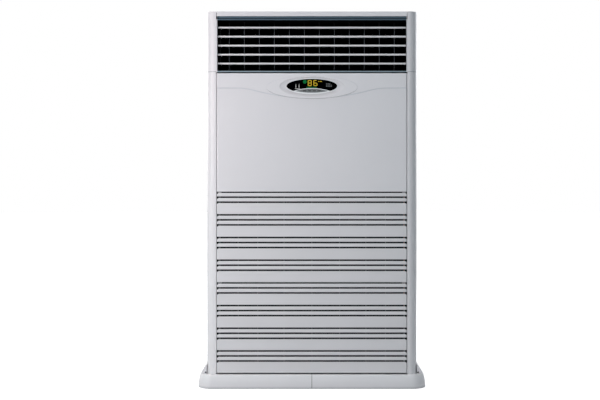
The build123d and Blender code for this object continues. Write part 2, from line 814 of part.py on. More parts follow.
def display_bezel():
    seat_y = face_y - dish_floor
    rim_y = seat_y - rim_proud
    crescent_y = seat_y - rim_proud / 2
    centre = Pos(0, display_z)
    body = toward_front(centre * Ellipse(bezel_half_w, bezel_half_h), seat_y, rim_y)
    body = fillet(body.faces().sort_by(Axis.Y)[0].edges(), rim_proud / 3)
    collar = centre * Ellipse(lens_half_w + bezel_lip - bezel_clear, lens_half_h + bezel_lip - bezel_clear)
    body += toward_front(collar, face_y + bezel_back, seat_y)
    lens_back = face_y - dish_floor + lens_seat
    body -= toward_front(lens_outline(0), lens_back, rim_y - 1)
    body -= toward_front(lens_outline(seat_width), face_y + bezel_back + 1, lens_back)
    body -= toward_front(crescent_outline(crescent_rim), crescent_y, rim_y - 1)
    for index in range(button_count):
        hole = Pos(button_x(index), button_z) * button_pill(button_clear)
        body -= toward_front(hole, face_y + bezel_back + 1, rim_y - 1)
    return body


def button(index):
    place = Pos(button_x(index), button_z)
    y_front = face_y - dish_floor - rim_proud / 2 - button_travel - button_proud
    flange_y = face_y + bezel_back + button_flange_gap
    cap = toward_front(place * button_pill(0), flange_y, y_front)
    cap = fillet(cap.faces().sort_by(Axis.Y)[0].edges(), button_round)
    return cap + toward_front(place * button_pill(0, button_flange), flange_y + button_flange_thick, flange_y)


def display_board():
    y0 = face_y + board_y
    board = slab(-board_half_w, board_half_w, y0, y0 + board_thick,
                 display_z - board_half_h, display_z + board_half_h)
    post_x = board_half_w - board_post_inset
    post_z = board_half_h - board_post_inset
    for x in (-post_x, post_x):
        for z in (display_z - post_z, display_z + post_z):
            board += rod_y(x, face_y + panel_wall, y0, z, board_post_r)
    switch_y = face_y + bezel_back + button_flange_gap + button_flange_thick + button_travel + switch_gap
    for index in range(button_count):
        board += rod_y(button_x(index), switch_y, y0, button_z, switch_r)
    return board


# ---- intake grille and filter ----

def slot_offsets():
    """Slot centres below the seam that closes the panel at its top."""
    places = [g * slot_group + s * slot_step for g in range(slot_groups) for s in range(slots_in_group)]
    return places[1:]


def bar_section(z0, z1):
    """Side view of one bar between two slots, with a crown if it is a narrow strip."""
    y0 = face_y
    y1 = face_y + grille_wall
    r = bar_round
    crown = strip_crown if z1 - z0 < slot_step else 0.0
    y_edge = y0 + crown
    k = r * (1 - sin(pi / 4))
    top = ThreePointArc((y_edge, z1 - r), (y_edge + k, z1 - k), (y_edge + r, z1))
    low = ThreePointArc((y_edge + r, z0), (y_edge + k, z0 + k), (y_edge, z0 + r))
    if crown:
        front = ThreePointArc((y_edge, z0 + r), (y0, (z0 + z1) / 2), (y_edge, z1 - r))
    else:
        front = Line((y_edge, z0 + r), (y_edge, z1 - r))
    return outline(Line((y1, z0), (y_edge + r, z0)), low, front, top, Line((y_edge + r, z1), (y1, z1)),
                   Line((y1, z1), (y1, z0)))


def grille(seam_z):
    """One intake grille hanging below the seam at seam_z."""
    z1 = seam_z - seam_gap / 2
    z0 = seam_z - grille_pitch + seam_gap / 2
    w = panel_half_w
    edges = [z1]
    for offset in slot_offsets():
        edges += [seam_z - offset + slot_height / 2, seam_z - offset - slot_height / 2]
    edges.append(z0)
    bars = [along_x(bar_section(edges[i + 1], edges[i]), -w, w) for i in range(0, len(edges), 2)]
    block = rounded_front(face_y, grille_depth, z0, z1, grille_edge_r, 0)
    x_end = w - grille_wall
    ends = block - slab(-x_end, x_end, face_y - 1, face_y + grille_depth + 1, z0 - 1, z1 + 1)
    y_return = face_y + grille_wall - 1
    top_return = slab(-w + 1, w - 1, y_return, face_y + grille_depth, z1 - grille_wall, z1)
    low_return = slab(-w + 1, w - 1, y_return, face_y + grille_pivot_y, z0, z0 + grille_wall)
    body = (bars[0].fuse(*bars[1:]) & block) + ends + top_return + low_return
    for x in sorted({side * place for place in rib_x + [w - rib_end_gap] for side in (-1, 1)}):
        body += slab(x - rib_thick / 2, x + rib_thick / 2, y_return, face_y + grille_depth, z0 + 1, z1 - 1)
    for i in range(1, len(edges) - 1, 2):
        z_slot = edges[i + 1]
        body -= slab(-w - 1, w + 1, face_y - 1, face_y + slot_depth, z_slot, edges[i])
        for side in (-1, 1):
            corners = [(side * (w - slot_notch), z_slot), (side * w, z_slot - slot_notch), (side * w, z_slot)]
            body -= toward_front(make_face(Polyline(*corners, close=True)), face_y + slot_depth, face_y - 1)
    hole_r = grille_pin_r + running_clear
    return body - rod_x(-w - 1, w + 1, face_y + grille_pivot_y, z0 + grille_pivot_z, hole_r)


def air_filter(seam_z):
    y0 = face_y + grille_depth
    y1 = y0 + filter_thick
    z1 = seam_z - seam_gap / 2 - filter_top_gap
    z0 = seam_z - grille_pitch + seam_gap / 2 + filter_low_gap
    w = panel_half_w - filter_side_gap
    f = filter_frame
    body = slab(-w, w, y0, y1, z0, z1)
    step = (2 * w - f) / (filter_bars + 1)
    y_net = (y0 + y1) / 2
    for i in range(filter_bars + 1):
        x0 = -w + f + i * step
        x1 = x0 + step - f
        body -= slab(x0, x1, y0 - 1, y_net - filter_net / 2, z0 + f, z1 - f)
        body -= slab(x0, x1, y_net + filter_net / 2, y1 + 1, z0 + f, z1 - f)
    return body


def grille_catches():
    catches = []
    for seam in (seam_middle_z, seam_upper_z):
        for x in (-catch_x, catch_x):
            y_block = face_y + grille_depth + catch_back_gap
            x0 = x - catch_w / 2
            x1 = x + catch_w / 2
            body = slab(x0, x1, y_block, rail_y, seam - catch_high / 2, seam + catch_high / 2)
            z_tab = seam - catch_tab_drop
            tab = slab(x0, x1, face_y + bar_round, y_block + 1, z_tab - catch_tab / 2, z_tab + catch_tab / 2)
            catches.append((body + tab).solid())
    return Compound(children=catches)


# ---- air outlet ----

def louvre_z(index):
    return (outlet_low_z + outlet_high_z) / 2 + (index - (louvre_count - 1) / 2) * louvre_pitch


def vane_x(index):
    return (index - (vane_count - 1) / 2) * vane_pitch


def outlet_frame():
    y0 = face_y + outlet_set_back
    y1 = face_y + outlet_depth
    w = outlet_half_w
    t = outlet_wall
    body = slab(-w - t, w + t, y0, y1, outlet_low_z - t, outlet_high_z + t)
    lip_x = pillar_in - fit_gap
    body += slab(-lip_x, lip_x, y0, y0 + t, outlet_low_z - t - outlet_lip, outlet_high_z + t + outlet_lip_top)
    strip_y = face_y + recess_set_back
    strip_z = cap_flange_z - recess_high
    groove_y = strip_y + groove_deep
    strip_x = pillar_in - cap_seam - sheet - fit_gap
    body += slab(-strip_x, strip_x, strip_y, strip_y + t, strip_z, cap_flange_z + recess_lap)
    body += slab(-strip_x, strip_x, strip_y, groove_y + t, strip_z, strip_z + t)
    body += slab(-strip_x, strip_x, groove_y, groove_y + t, outlet_high_z, strip_z + t)
    body -= slab(-w, w, y0 - 1, y1 + 1, outlet_low_z, outlet_high_z)
    pin = pivot_pin_r + running_clear
    for i in range(louvre_count):
        body -= rod_x(-w - 5, w + 5, face_y + louvre_pivot_y, louvre_z(i), pin)
    for i in range(vane_count):
        body -= rod_z(vane_x(i), face_y + vane_pivot_y, outlet_low_z - 5, outlet_high_z + 5, pin)
    return body


def louvre_section():
    """Side view of a blade: blunt round nose at the front, straight flanks, thin round tail."""
    y0 = -louvre_chord / 2
    y1 = louvre_chord / 2
    y_nose = y0 + louvre_nose_r
    y_tail = y1 - louvre_tip_r
    nose = ThreePointArc((y_nose, louvre_nose_r), (y0, 0), (y_nose, -louvre_nose_r))
    tail = ThreePointArc((y_tail, -louvre_tip_r), (y1, 0), (y_tail, louvre_tip_r))
    return outline(nose, Line((y_nose, -louvre_nose_r), (y_tail, -louvre_tip_r)), tail,
                   Line((y_tail, louvre_tip_r), (y_nose, louvre_nose_r)))


def louvre(index):
    y = face_y + louvre_pivot_y
    z = louvre_z(index)
    x1 = outlet_half_w - louvre_end_gap
    blade = along_x(Pos(y, z) * louvre_section(), -x1, x1)
    pin_end = x1 + louvre_end_gap + outlet_wall
    blade += rod_x(-pin_end, -x1 + pin_root, y, z, pivot_pin_r)
    blade += rod_x(x1 - pin_root, pin_end, y, z, pivot_pin_r)
    lug_x0 = -louvre_crank_x - lug_thick / 2
    lug_x1 = -louvre_crank_x + lug_thick / 2
    y_crank = y + louvre_crank
    blade += slab(lug_x0, lug_x1, y, y_crank, z - lug_half_h, z + lug_half_h)
    blade += rod_x(lug_x0, lug_x1, y_crank, z, lug_end_r)
    return blade + rod_x(-link_x - link_thick / 2 - pin_tail, -louvre_crank_x, y_crank, z, crank_pin_r)


def louvre_link():
    y = face_y + louvre_pivot_y + louvre_crank
    z0 = louvre_z(0)
    z1 = louvre_z(louvre_count - 1)
    x0 = -link_x - link_thick / 2
    x1 = -link_x + link_thick / 2
    bar = slab(x0, x1, y - link_width / 2, y + link_width / 2, z0, z1)
    bar += rod_x(x0, x1, y, z0, link_width / 2) + rod_x(x0, x1, y, z1, link_width / 2)
    for i in range(louvre_count):
        clear = running_clear if i == 0 else loose_clear
        bar -= rod_x(x0 - 1, x1 + 1, y, louvre_z(i), crank_pin_r + clear)
    return bar


def vane(index):
    x = vane_x(index)
    y = face_y + vane_pivot_y
    z0 = outlet_low_z + vane_low_gap
    z1 = outlet_high_z - vane_top_gap
    blade = slab(x - vane_thick / 2, x + vane_thick / 2, y - vane_chord / 2, y + vane_chord / 2, z0, z1)
    blade = fillet(blade.edges().filter_by(Axis.Z), vane_round)
    reach = motor_engage if index == vane_count - 1 else 0.0
    low_pin = rod_z(x, y, outlet_low_z - outlet_wall - reach, z0 + vane_pin_root, pivot_pin_r)
    top_pin = rod_z(x, y, z1 - vane_pin_root, outlet_high_z + outlet_wall, pivot_pin_r)
    crank = rod_z(x, y + vane_crank, z0 - vane_crank_low, z0 + vane_crank_high, crank_pin_r * 2)
    crank_pin = rod_z(x, y + vane_crank, vane_link_z() - link_thick / 2 - vane_crank_low, z0, crank_pin_r)
    return blade + low_pin + top_pin + crank + crank_pin


def vane_link_z():
    return outlet_low_z + vane_low_gap - 2 * vane_crank_low - link_gap - link_thick / 2


def vane_link():
    y = face_y + vane_pivot_y + vane_crank
    z = vane_link_z()
    x0 = vane_x(0)
    x1 = vane_x(vane_count - 1)
    z0 = z - link_thick / 2
    z1 = z + link_thick / 2
    half = link_width / 2 - 1
    bar = slab(x0, x1, y - half, y + half, z0, z1) + rod_z(x0, y, z0, z1, half) + rod_z(x1, y, z0, z1, half)
    for i in range(vane_count):
        clear = running_clear if i == 0 else loose_clear
        bar -= rod_z(vane_x(i), y, z0 - 1, z1 + 1, crank_pin_r + clear)
    return bar


def swing_motor():
    x = vane_x(vane_count - 1)
    y = face_y + vane_pivot_y
    top = outlet_low_z - outlet_wall
    body = rod_z(x, y, top - motor_hub_h, top, motor_hub_r)
    ear_x = motor_hub_r + motor_ear
    body += slab(x - ear_x, x + ear_x, y - motor_ear_half, y + motor_ear_half, top - motor_ear_thick, top)
    return body - rod_z(x, y, top - motor_engage - motor_floor, top + 1, pivot_pin_r + running_clear)


# ---- blower ----

def scroll_section(inset):
    """Side view of the scroll: a spiral of quarter arcs that opens into an upright mouth."""
    radii = [scroll_r + scroll_growth * k - inset for k in range(4)]
    turns = [pi / 2, pi, 3 * pi / 2, 2 * pi]

    def at(r, a):
        return (blower_y + r * cos(a), blower_z + r * sin(a))

    lines = []
    for k in range(3):
        middle = at((radii[k] + radii[k + 1]) / 2, turns[k] + pi / 4)
        lines.append(ThreePointArc(at(radii[k], turns[k]), middle, at(radii[k + 1], turns[k + 1])))
    y_back = blower_y + radii[3]
    y_front = scroll_back_y - scroll_mouth + inset
    z_top = deck_z if inset == 0 else deck_z + 1
    z_cut = blower_z + radii[0]
    lines += [Line((y_back, blower_z), (y_back, z_top)), Line((y_back, z_top), (y_front, z_top)),
              Line((y_front, z_top), (y_front, z_cut)), Line((y_front, z_cut), (blower_y, z_cut))]
    return outline(*lines)


def scroll(side):
    x = side * wheel_x
    half = scroll_width / 2
    shell = along_x(scroll_section(0), x - half, x + half)
    shell -= along_x(scroll_section(scroll_wall), x - half + scroll_wall, x + half - scroll_wall)
    return shell - rod_x(x - half - 1, x + half + 1, blower_y, blower_z, scroll_inlet_r)


def blower_scrolls():
    return Compound(children=[scroll(side).solid() for side in (-1, 1)])


def blower_wheel(side):
    x = side * wheel_x
    half = wheel_width / 2
    disc = rod_x(x - wheel_sheet / 2, x + wheel_sheet / 2, blower_y, blower_z, wheel_r)
    body = disc + rod_x(x - wheel_hub_len / 2, x + wheel_hub_len / 2, blower_y, blower_z, wheel_hub_r)
    for end in (-1, 1):
        x0 = x + end * half
        x1 = x + end * (half - wheel_sheet)
        body += rod_x(x0, x1, blower_y, blower_z, wheel_r) - rod_x(x0, x1, blower_y, blower_z, wheel_inner_r)
    chord = wheel_r - wheel_inner_r
    place = Pos(blower_y + (wheel_r + wheel_inner_r) / 2, blower_z) * Rot(0, 0, blade_tilt)
    blade = along_x(place * Rectangle(chord, blade_thick), x - half + 1, x + half - 1)
    axis = Axis((0, blower_y, blower_z), (1, 0, 0))
    blades = [blade.rotate(axis, 360 / wheel_blades * k) for k in range(wheel_blades)]
    body = body.fuse(*blades)
    return body - rod_x(x - half, x + half, blower_y, blower_z, shaft_r)


def blower_wheels():
    return Compound(children=[blower_wheel(side).solid() for side in (-1, 1)])


def blower_shaft():
    shaft = rod_x(-shaft_half, shaft_half, blower_y, blower_z, shaft_r)
    return chamfer(shaft.edges(), 1.0)


def blower_motor():
    half = motor_len / 2
    body = rod_x(-half, half, blower_y, blower_z, motor_r)
    body = fillet(body.edges(), motor_round)
    body += slab(-motor_arm_w / 2, motor_arm_w / 2, blower_y + motor_r - motor_arm_root, core_y - post_wall,
                 blower_z - motor_arm_h / 2, blower_z + motor_arm_h / 2)
    return body - rod_x(-half - 1, half + 1, blower_y, blower_z, shaft_r + running_clear)


# ---- cooling ----

def coil_point(along):
    """Middle of the slanted coil at a distance along its length, as (y, z)."""
    return (coil_y + along * sin(coil_lean), coil_z + along * cos(coil_lean))


def evaporator():
    lean = Pos(0, coil_y, coil_z) * Rot(-coil_tilt, 0, 0)
    block = lean * Box(2 * coil_half_w, coil_thick, coil_length)
    ring = Circle(bend_half + bend_r) - Circle(bend_half - bend_r)
    outer_half = Pos(2 * bend_half, 0) * Rectangle(4 * bend_half, 4 * bend_half)
    half_bend = extrude(ring & outer_half, bend_r, both=True)
    for side in (-1, 1):
        end_x = side * (coil_half_w + coil_end)
        plate = Box(coil_end, coil_thick + coil_rim, coil_length)
        block += lean * Pos(end_x - side * coil_end / 2, 0, 0) * plate
        turn = Rot(0, 0, 90 - side * 90)
        for k in range(bend_count):
            block += lean * Pos(end_x, 0, (k - (bend_count - 1) / 2) * bend_pitch) * turn * half_bend
    return block


def tube(points, bend, r, wall):
    path = FilletPolyline(*points, radius=bend)
    ring = Circle(r) - Circle(r - wall)
    start = Plane(origin=path @ 0, z_dir=path % 0)
    return sweep(start * ring, path=path)


def stop_bead(x, z, r):
    y = back_y - service_depth + bead_gap
    bead = rod_y(x, y, y + bead_long, z, r + bead_proud)
    return bead - rod_y(x, y - 1, y + bead_long + 1, z, r - bead_root)


def pipe_run(start, riser, level, end, bend):
    """Pipe from the coil out to its riser, down through the deck and back to its stub."""
    x, y, r = riser
    points = [start, (x, start[1], start[2]), (x, start[1], level), (x, y, level), (x, y, end[2]),
              (end[0], y, end[2]), end]
    return tube(points, bend, r, pipe_wall)


def refrigerant_pipes():
    y0, z0 = coil_point(2.5 * bend_pitch)
    y2, z2 = coil_point(-0.5 * bend_pitch)
    x0 = coil_half_w + coil_end
    end_y = back_y - stub_inset
    gas_end = (gas_x, end_y, gas_z)
    liquid_end = (liquid_x, end_y, liquid_z)
    gas = pipe_run((x0, y0, z0), risers()[0], deck_z + gas_level, gas_end, gas_bend)
    liquid = pipe_run((x0, y2, z2), risers()[1], deck_z + liquid_level, liquid_end, liquid_bend)
    gas += stop_bead(gas_x, gas_z, gas_r)
    liquid += stop_bead(liquid_x, liquid_z, liquid_r)
    return Compound(children=[gas.solid(), liquid.solid()])


def drain_pan():
    z0 = pan_floor_z
    pan = slab(-pan_half_w, pan_half_w, pan_y_front, pan_y_back, z0, z0 + pan_high)
    pan -= slab(-pan_half_w + pan_wall, pan_half_w - pan_wall, pan_y_front + pan_wall, pan_y_back - pan_wall,
                z0 + pan_wall, z0 + pan_high + 1)
    pipe = tube([(drain_x, drain_y, z0 + pan_wall), (drain_x, drain_y, drain_z),
                 (drain_x, back_y - stub_inset, drain_z)], drain_bend, drain_r, drain_wall)
    pan -= rod_z(drain_x, drain_y, z0 - 1, z0 + pan_wall + 1, drain_r - drain_wall)
    return pan + pipe + stop_bead(drain_x, drain_z, drain_r)


# ---- service recess and electrics ----

def service_plate():
    """Floor of the recess, with a hole for each pipe and for the gland."""
    t = sheet
    y0 = back_y - sheet - service_depth
    body = slab(service_x0 - t, service_x1 + t, y0, y0 + t, service_z0 - t, service_z1 + t)
    for x, z, r in ((gas_x, gas_z, gas_r), (liquid_x, liquid_z, liquid_r), (drain_x, drain_z, drain_r)):
        body -= rod_y(x, y0 - 1, y0 + t + 1, z, r + pipe_hole_clear)
    return body - rod_y(gland_x, y0 - 1, y0 + t + 1, gland_z, gland_thread_r + gland_hole_clear)


def service_surround():
    """Four walls of the recess with a flange behind the back panel."""
    x0, x1, z0, z1 = service_x0, service_x1, service_z0, service_z1
    y1 = back_y - sheet
    y0 = y1 - service_depth + sheet
    t = sheet
    f = service_flange
    body = slab(x0 - t, x1 + t, y0, y1, z0 - t, z1 + t) + slab(x0 - f, x1 + f, y1 - t, y1, z0 - f, z1 + f)
    return body - slab(x0, x1, y0 - 1, y1 + 1, z0, z1)


def cable_gland():
    y0 = back_y - sheet - service_depth
    y1 = y0 + sheet
    thread = rod_y(gland_x, y0 - gland_thread_out, y1 + gland_thread_out, gland_z, gland_thread_r)
    cap = rod_y(gland_x, y1, y1 + gland_cap_long, gland_z, gland_thread_r + gland_cap_wide)
    cap = chamfer(cap.faces().sort_by(Axis.Y)[-1].edges(), gland_cap_wide / 2)
    hexagon = Pos(gland_x, gland_z) * RegularPolygon(gland_thread_r + gland_nut_wide, 6)
    nut = toward_front(hexagon, y0, y0 - gland_nut_high)
    bore = rod_y(gland_x, y0 - gland_thread_out - 1, y1 + gland_cap_long + 1, gland_z, gland_bore_r)
    return thread + cap + nut - bore


def control_box():
    t = sheet
    box_x0 = -core_x + box_side_gap
    box_x1 = box_x0 + box_w
    box_y1 = core_y - box_back_gap
    box_y0 = box_y1 - box_deep
    body = slab(box_x0, box_x1, box_y0, box_y1, base_deck_z, box_z1)
    body -= slab(box_x0 + t, box_x1 - t, box_y0 - 1, box_y1 - t, base_deck_z + t, box_z1 - t)
    wall_y = box_y1 - t
    low = base_deck_z + terminal_z
    body += slab(box_x0 + terminal_inset, box_x1 - terminal_inset, wall_y - terminal_deep, wall_y,
                 low, low + terminal_high)
    low = base_deck_z + relay_z
    relay_x = box_x0 + relay_inset
    return body + slab(relay_x, relay_x + relay_w, wall_y - relay_deep, wall_y, low, low + relay_high)


# ---- all nodes ----

def nodes():
    upper_trim = pillar(pillar_seam_z + fit_gap, height, True)
    lower_trim = pillar(skirt_height, pillar_seam_z, False)
    side = side_panel()
    skirt = skirt_front()
    cheek = skirt_side()
    made = {
        "base_pan": base_pan(),
        "levelling_feet": levelling_feet(),
        "skirt_front_left": mirrored(skirt),
        "skirt_front_right": skirt,
        "skirt_side_left": mirrored(cheek),
        "skirt_side_right": cheek,
        "frame": frame(),
        "pillar_upper_left": mirrored(upper_trim),
        "pillar_upper_right": upper_trim,
        "pillar_lower_left": mirrored(lower_trim),
        "pillar_lower_right": lower_trim,
        "side_panel_left": mirrored(side),
        "side_panel_right": side,
        "back_panel": back_panel(),
        "top_cover": top_cover(),
        "casing_screws": casing_screws(),
        "front_panel": front_panel(),
        "display_bezel": display_bezel(),
        "display_lens": display_lens(),
        "display_board": display_board(),
        "intake_grille_upper": grille(seam_upper_z),
        "intake_grille_lower": grille(seam_middle_z),
        "filter_upper": air_filter(seam_upper_z),
        "filter_lower": air_filter(seam_middle_z),
        "grille_catches": grille_catches(),
        "outlet_frame": outlet_frame(),
        "louvre_link": louvre_link(),
        "vane_link": vane_link(),
        "swing_motor": swing_motor(),
        "blower_wheels": blower_wheels(),
        "blower_shaft": blower_shaft(),
        "blower_scrolls": blower_scrolls(),
        "blower_motor": blower_motor(),
        "evaporator": evaporator(),
        "drain_pan": drain_pan(),
        "refrigerant_pipes": refrigerant_pipes(),
        "control_box": control_box(),
        "service_plate": service_plate(),
        "service_surround": service_surround(),
        "cable_gland": cable_gland(),
    }
    for i in range(button_count):
        made[f"button_{i + 1}"] = button(i)
    for i in range(louvre_count):
        made[f"louvre_{i + 1}"] = louvre(i)
    for i in range(vane_count):
        made[f"vane_{i + 1}"] = vane(i)
    return made


def main():
    os.makedirs("parts", exist_ok=True)
    for name, shape in nodes().items():
        export_step(shape, f"parts/{name}.step")
        print(name, "solids", len(shape.solids()), "volume", round(shape.volume))


main()
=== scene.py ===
import math

import bmesh
import bpy
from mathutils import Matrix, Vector


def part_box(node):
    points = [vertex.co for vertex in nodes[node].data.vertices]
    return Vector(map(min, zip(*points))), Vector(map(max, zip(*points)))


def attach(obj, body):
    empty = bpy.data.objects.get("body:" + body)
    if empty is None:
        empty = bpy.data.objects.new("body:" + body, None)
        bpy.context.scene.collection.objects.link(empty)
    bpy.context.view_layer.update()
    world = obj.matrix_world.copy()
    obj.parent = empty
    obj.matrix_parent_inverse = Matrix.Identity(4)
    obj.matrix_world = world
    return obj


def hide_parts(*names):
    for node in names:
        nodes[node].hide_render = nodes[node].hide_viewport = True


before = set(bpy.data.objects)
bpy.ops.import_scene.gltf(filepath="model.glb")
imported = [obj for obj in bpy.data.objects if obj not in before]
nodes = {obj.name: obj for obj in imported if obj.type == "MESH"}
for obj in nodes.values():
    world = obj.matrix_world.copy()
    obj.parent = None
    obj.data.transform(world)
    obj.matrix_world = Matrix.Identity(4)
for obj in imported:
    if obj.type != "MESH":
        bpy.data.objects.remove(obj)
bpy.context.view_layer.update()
print("frame loaded:", len(nodes), "nodes")

mm = 0.001
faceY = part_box("intake_grille_upper")[0][1]   # front plane of the panels


def hexColour(code):
    channels = [int(code[i:i + 2], 16) / 255 for i in (1, 3, 5)]
    linear = [c / 12.92 if c <= 0.04045 else ((c + 0.055) / 1.055) ** 2.4 for c in channels]   # sRGB curve
    return (*linear, 1.0)


def addNode(tree, kind, settings, links=()):
    node = tree.nodes.new(kind)
    for name, value in settings.items():
        if isinstance(name, str) and hasattr(node, name):
            setattr(node, name, value)
        else:
            node.inputs[name].default_value = value
    for name, source in links:
        tree.links.new(source, node.inputs[name])
    return node


def startMaterial(name, sockets):
    material = bpy.data.materials.new(name)
    material.use_nodes = True
    tree = material.node_tree
    shader = tree.nodes["Principled BSDF"]
    for socket, value in sockets.items():
        shader.inputs[socket].default_value = value
    return material, tree, shader


# camera: straight on with the photo's own perspective, pixels are those of its 600 x 400 frame
camera = {"distance": 5.75, "height": 1.050, "mmPerPixel": 4.981, "imageWidth": 600, "horizonPixel": 178.0,
          "middlePixel": 311.85, "imageCentre": (300.0, 200.0), "sensor": 36.0, "pitch": 90.0}

focal = camera["distance"] / (camera["mmPerPixel"] * mm)   # in pixels
eye = bpy.data.cameras.new("photoCamera")
eye.sensor_width = camera["sensor"]
eye.lens = focal * camera["sensor"] / camera["imageWidth"]
eye.shift_x = (camera["imageCentre"][0] - camera["middlePixel"]) / camera["imageWidth"]
eye.shift_y = (camera["horizonPixel"] - camera["imageCentre"][1]) / camera["imageWidth"]
eyeObject = bpy.data.objects.new("photoCamera", eye)
eyeObject.location = (0, faceY - camera["distance"], camera["height"])
eyeObject.rotation_euler = (math.radians(camera["pitch"]), 0, 0)
bpy.context.collection.objects.link(eyeObject)
bpy.context.scene.camera = eyeObject
print("camera placed, lens", round(eye.lens, 2))

# lights: soft windows at the left, a wide fill in front, one above, and two behind for the back and sides
lights = {
    "keyWindow": {"at": (-1.55, -1.75, 1.65), "aim": (-0.25, 0.0, 1.25), "size": (1.2, 1.2),
                  "power": 20.5, "colour": "#FFE7E9"},
    "sideStrip": {"at": (-2.2, -1.5, 1.0), "aim": (0.0, 0.0, 1.0), "size": (0.8, 2.0),
                  "power": 16.0, "colour": "#EBFFFC"},
    "frontFill": {"at": (0.3, -5.0, 2.3), "aim": (0.0, 0.0, 1.1), "size": (2.6, 2.6),
                  "power": 46.0, "colour": "#E3F9FF"},
    "overhead": {"at": (0.0, -0.45, 4.3), "aim": (0.0, -0.45, 0.0), "size": (2.0, 1.2),
                 "power": 40.0, "colour": "#FFFFFF"},
    "backLeft": {"at": (-3.6, 3.6, 2.2), "aim": (0.0, 0.0, 0.9), "size": (2.4, 2.0),
                 "power": 95.0, "colour": "#FFFFFF"},
    "backRight": {"at": (3.6, 3.6, 2.2), "aim": (0.0, 0.0, 0.9), "size": (2.4, 2.0),
                  "power": 80.0, "colour": "#F6FAFF"},
}
for name, light in lights.items():
    lamp = bpy.data.lights.new(name, "AREA")
    lamp.shape = "RECTANGLE"
    lamp.size, lamp.size_y = light["size"]
    lamp.energy = light["power"]
    lamp.color = hexColour(light["colour"])[:3]
    lampObject = bpy.data.objects.new(name, lamp)
    lampObject.location = light["at"]
    aim = Vector(light["aim"]) - Vector(light["at"])
    lampObject.rotation_euler = aim.to_track_quat("-Z", "Y").to_euler()
    bpy.context.collection.objects.link(lampObject)

# the world and the floor look white to the camera, in gloss and through glass,
# and light the object only dimly
surround = {"ambient": 0.10, "ambientColour": "#EAF6FF", "seen": 1.0, "seenColour": "#FFFFFF"}
floorLook = {"colour": "#EDEDED", "glow": 0.92, "glowColour": "#FFFFFF", "roughness": 0.9, "level": 0.1,
             "radius": 30.0, "sides": 64}


def seenDirectly(tree):
    path = addNode(tree, "ShaderNodeLightPath", {})
    either = addNode(tree, "ShaderNodeMath", {"operation": "MAXIMUM"},
                     [(0, path.outputs["Is Camera Ray"]), (1, path.outputs["Is Glossy Ray"])])
    return addNode(tree, "ShaderNodeMath", {"operation": "MAXIMUM"},
                   [(0, either.outputs[0]), (1, path.outputs["Is Transmission Ray"])]).outputs[0]


world = bpy.data.worlds.new("studio")
bpy.context.scene.world = world
world.use_nodes = True
sky = world.node_tree
dim = addNode(sky, "ShaderNodeBackground",
              {"Color": hexColour(surround["ambientColour"]), "Strength": surround["ambient"]})
white = addNode(sky, "ShaderNodeBackground",
                {"Color": hexColour(surround["seenColour"]), "Strength": surround["seen"]})
choose = addNode(sky, "ShaderNodeMixShader", {},
                 [("Fac", seenDirectly(sky)), (1, dim.outputs[0]), (2, white.outputs[0])])
sky.links.new(choose.outputs[0], sky.nodes["World Output"].inputs["Surface"])

floorMesh = bpy.data.meshes.new("floor")
disc = bmesh.new()
bmesh.ops.create_circle(disc, cap_ends=True, segments=floorLook["sides"], radius=floorLook["radius"])
disc.to_mesh(floorMesh)
disc.free()
floor = bpy.data.objects.new("floor", floorMesh)
bpy.context.collection.objects.link(floor)
floorPaint, floorTree, floorShader = startMaterial("paleStudioFloor", {
    "Base Color": hexColour(floorLook["colour"]), "Roughness": floorLook["roughness"],
    "Specular IOR Level": floorLook["level"], "Emission Color": hexColour(floorLook["glowColour"])})
glow = addNode(floorTree, "ShaderNodeMath", {"operation": "MULTIPLY", 1: floorLook["glow"]},
               [(0, seenDirectly(floorTree))])
floorTree.links.new(glow.outputs[0], floorShader.inputs["Emission Strength"])
floorMesh.materials.append(floorPaint)
bpy.context.scene.view_settings.view_transform = "Standard"
print("lights and floor ready")

# materials: object coordinates are in metres, so a pattern's scale is 1 / its real size;
# "grain", "depth" and "patch" are real sizes in millimetres
fineDetail = 3.0   # how broken up the noise of a grain is
softDetail = 2.0   # and that of the patches in paint and plastic


def addGrain(tree, shader, look):
    place = addNode(tree, "ShaderNodeTexCoord", {})
    noise = addNode(tree, "ShaderNodeTexNoise", {"Scale": 1 / (look["grain"] * mm), "Detail": fineDetail},
                    [("Vector", place.outputs["Object"])])
    bump = addNode(tree, "ShaderNodeBump", {"Strength": look["bump"], "Distance": look["depth"] * mm},
                   [("Height", noise.outputs["Fac"])])
    tree.links.new(bump.outputs["Normal"], shader.inputs["Normal"])
    if isinstance(look["roughness"], tuple):   # gloss that varies with the grain
        low, high = look["roughness"]
        gloss = addNode(tree, "ShaderNodeMapRange", {"To Min": low, "To Max": high},
                        [("Value", noise.outputs["Fac"])])
        tree.links.new(gloss.outputs["Result"], shader.inputs["Roughness"])
    else:
        shader.inputs["Roughness"].default_value = look["roughness"]
    return place


def coats(tree, base, layers):   # each colour lies over the last one where its mask is 1
    colour = base
    for mask, over in layers:
        pair = ((6, colour), (7, over))
        plain = {socket: hexColour(paint) for socket, paint in pair if isinstance(paint, str)}
        linked = [(socket, paint) for socket, paint in pair if not isinstance(paint, str)]
        mix = addNode(tree, "ShaderNodeMix", {"data_type": "RGBA", **plain}, [(0, mask), *linked])
        colour = mix.outputs[2]
    return colour


def twoTones(tree, place, look, detail=softDetail):   # the low and high tone of one colour, in patches
    patches = addNode(tree, "ShaderNodeTexNoise", {"Scale": 1 / (look["patch"] * mm), "Detail": detail},
                      [("Vector", place.outputs["Object"])])
    return coats(tree, look["low"], [(patches.outputs["Fac"], look["high"])])


def grainedSurface(name, look, sockets, detail=softDetail, dress=None):   # dress lays on more colours
    material, tree, shader = startMaterial(name, sockets)
    place = addGrain(tree, shader, look)
    colour = twoTones(tree, place, look, detail)
    if dress:
        colour = dress(tree, place, colour)
    tree.links.new(colour, shader.inputs["Base Color"])
    return material


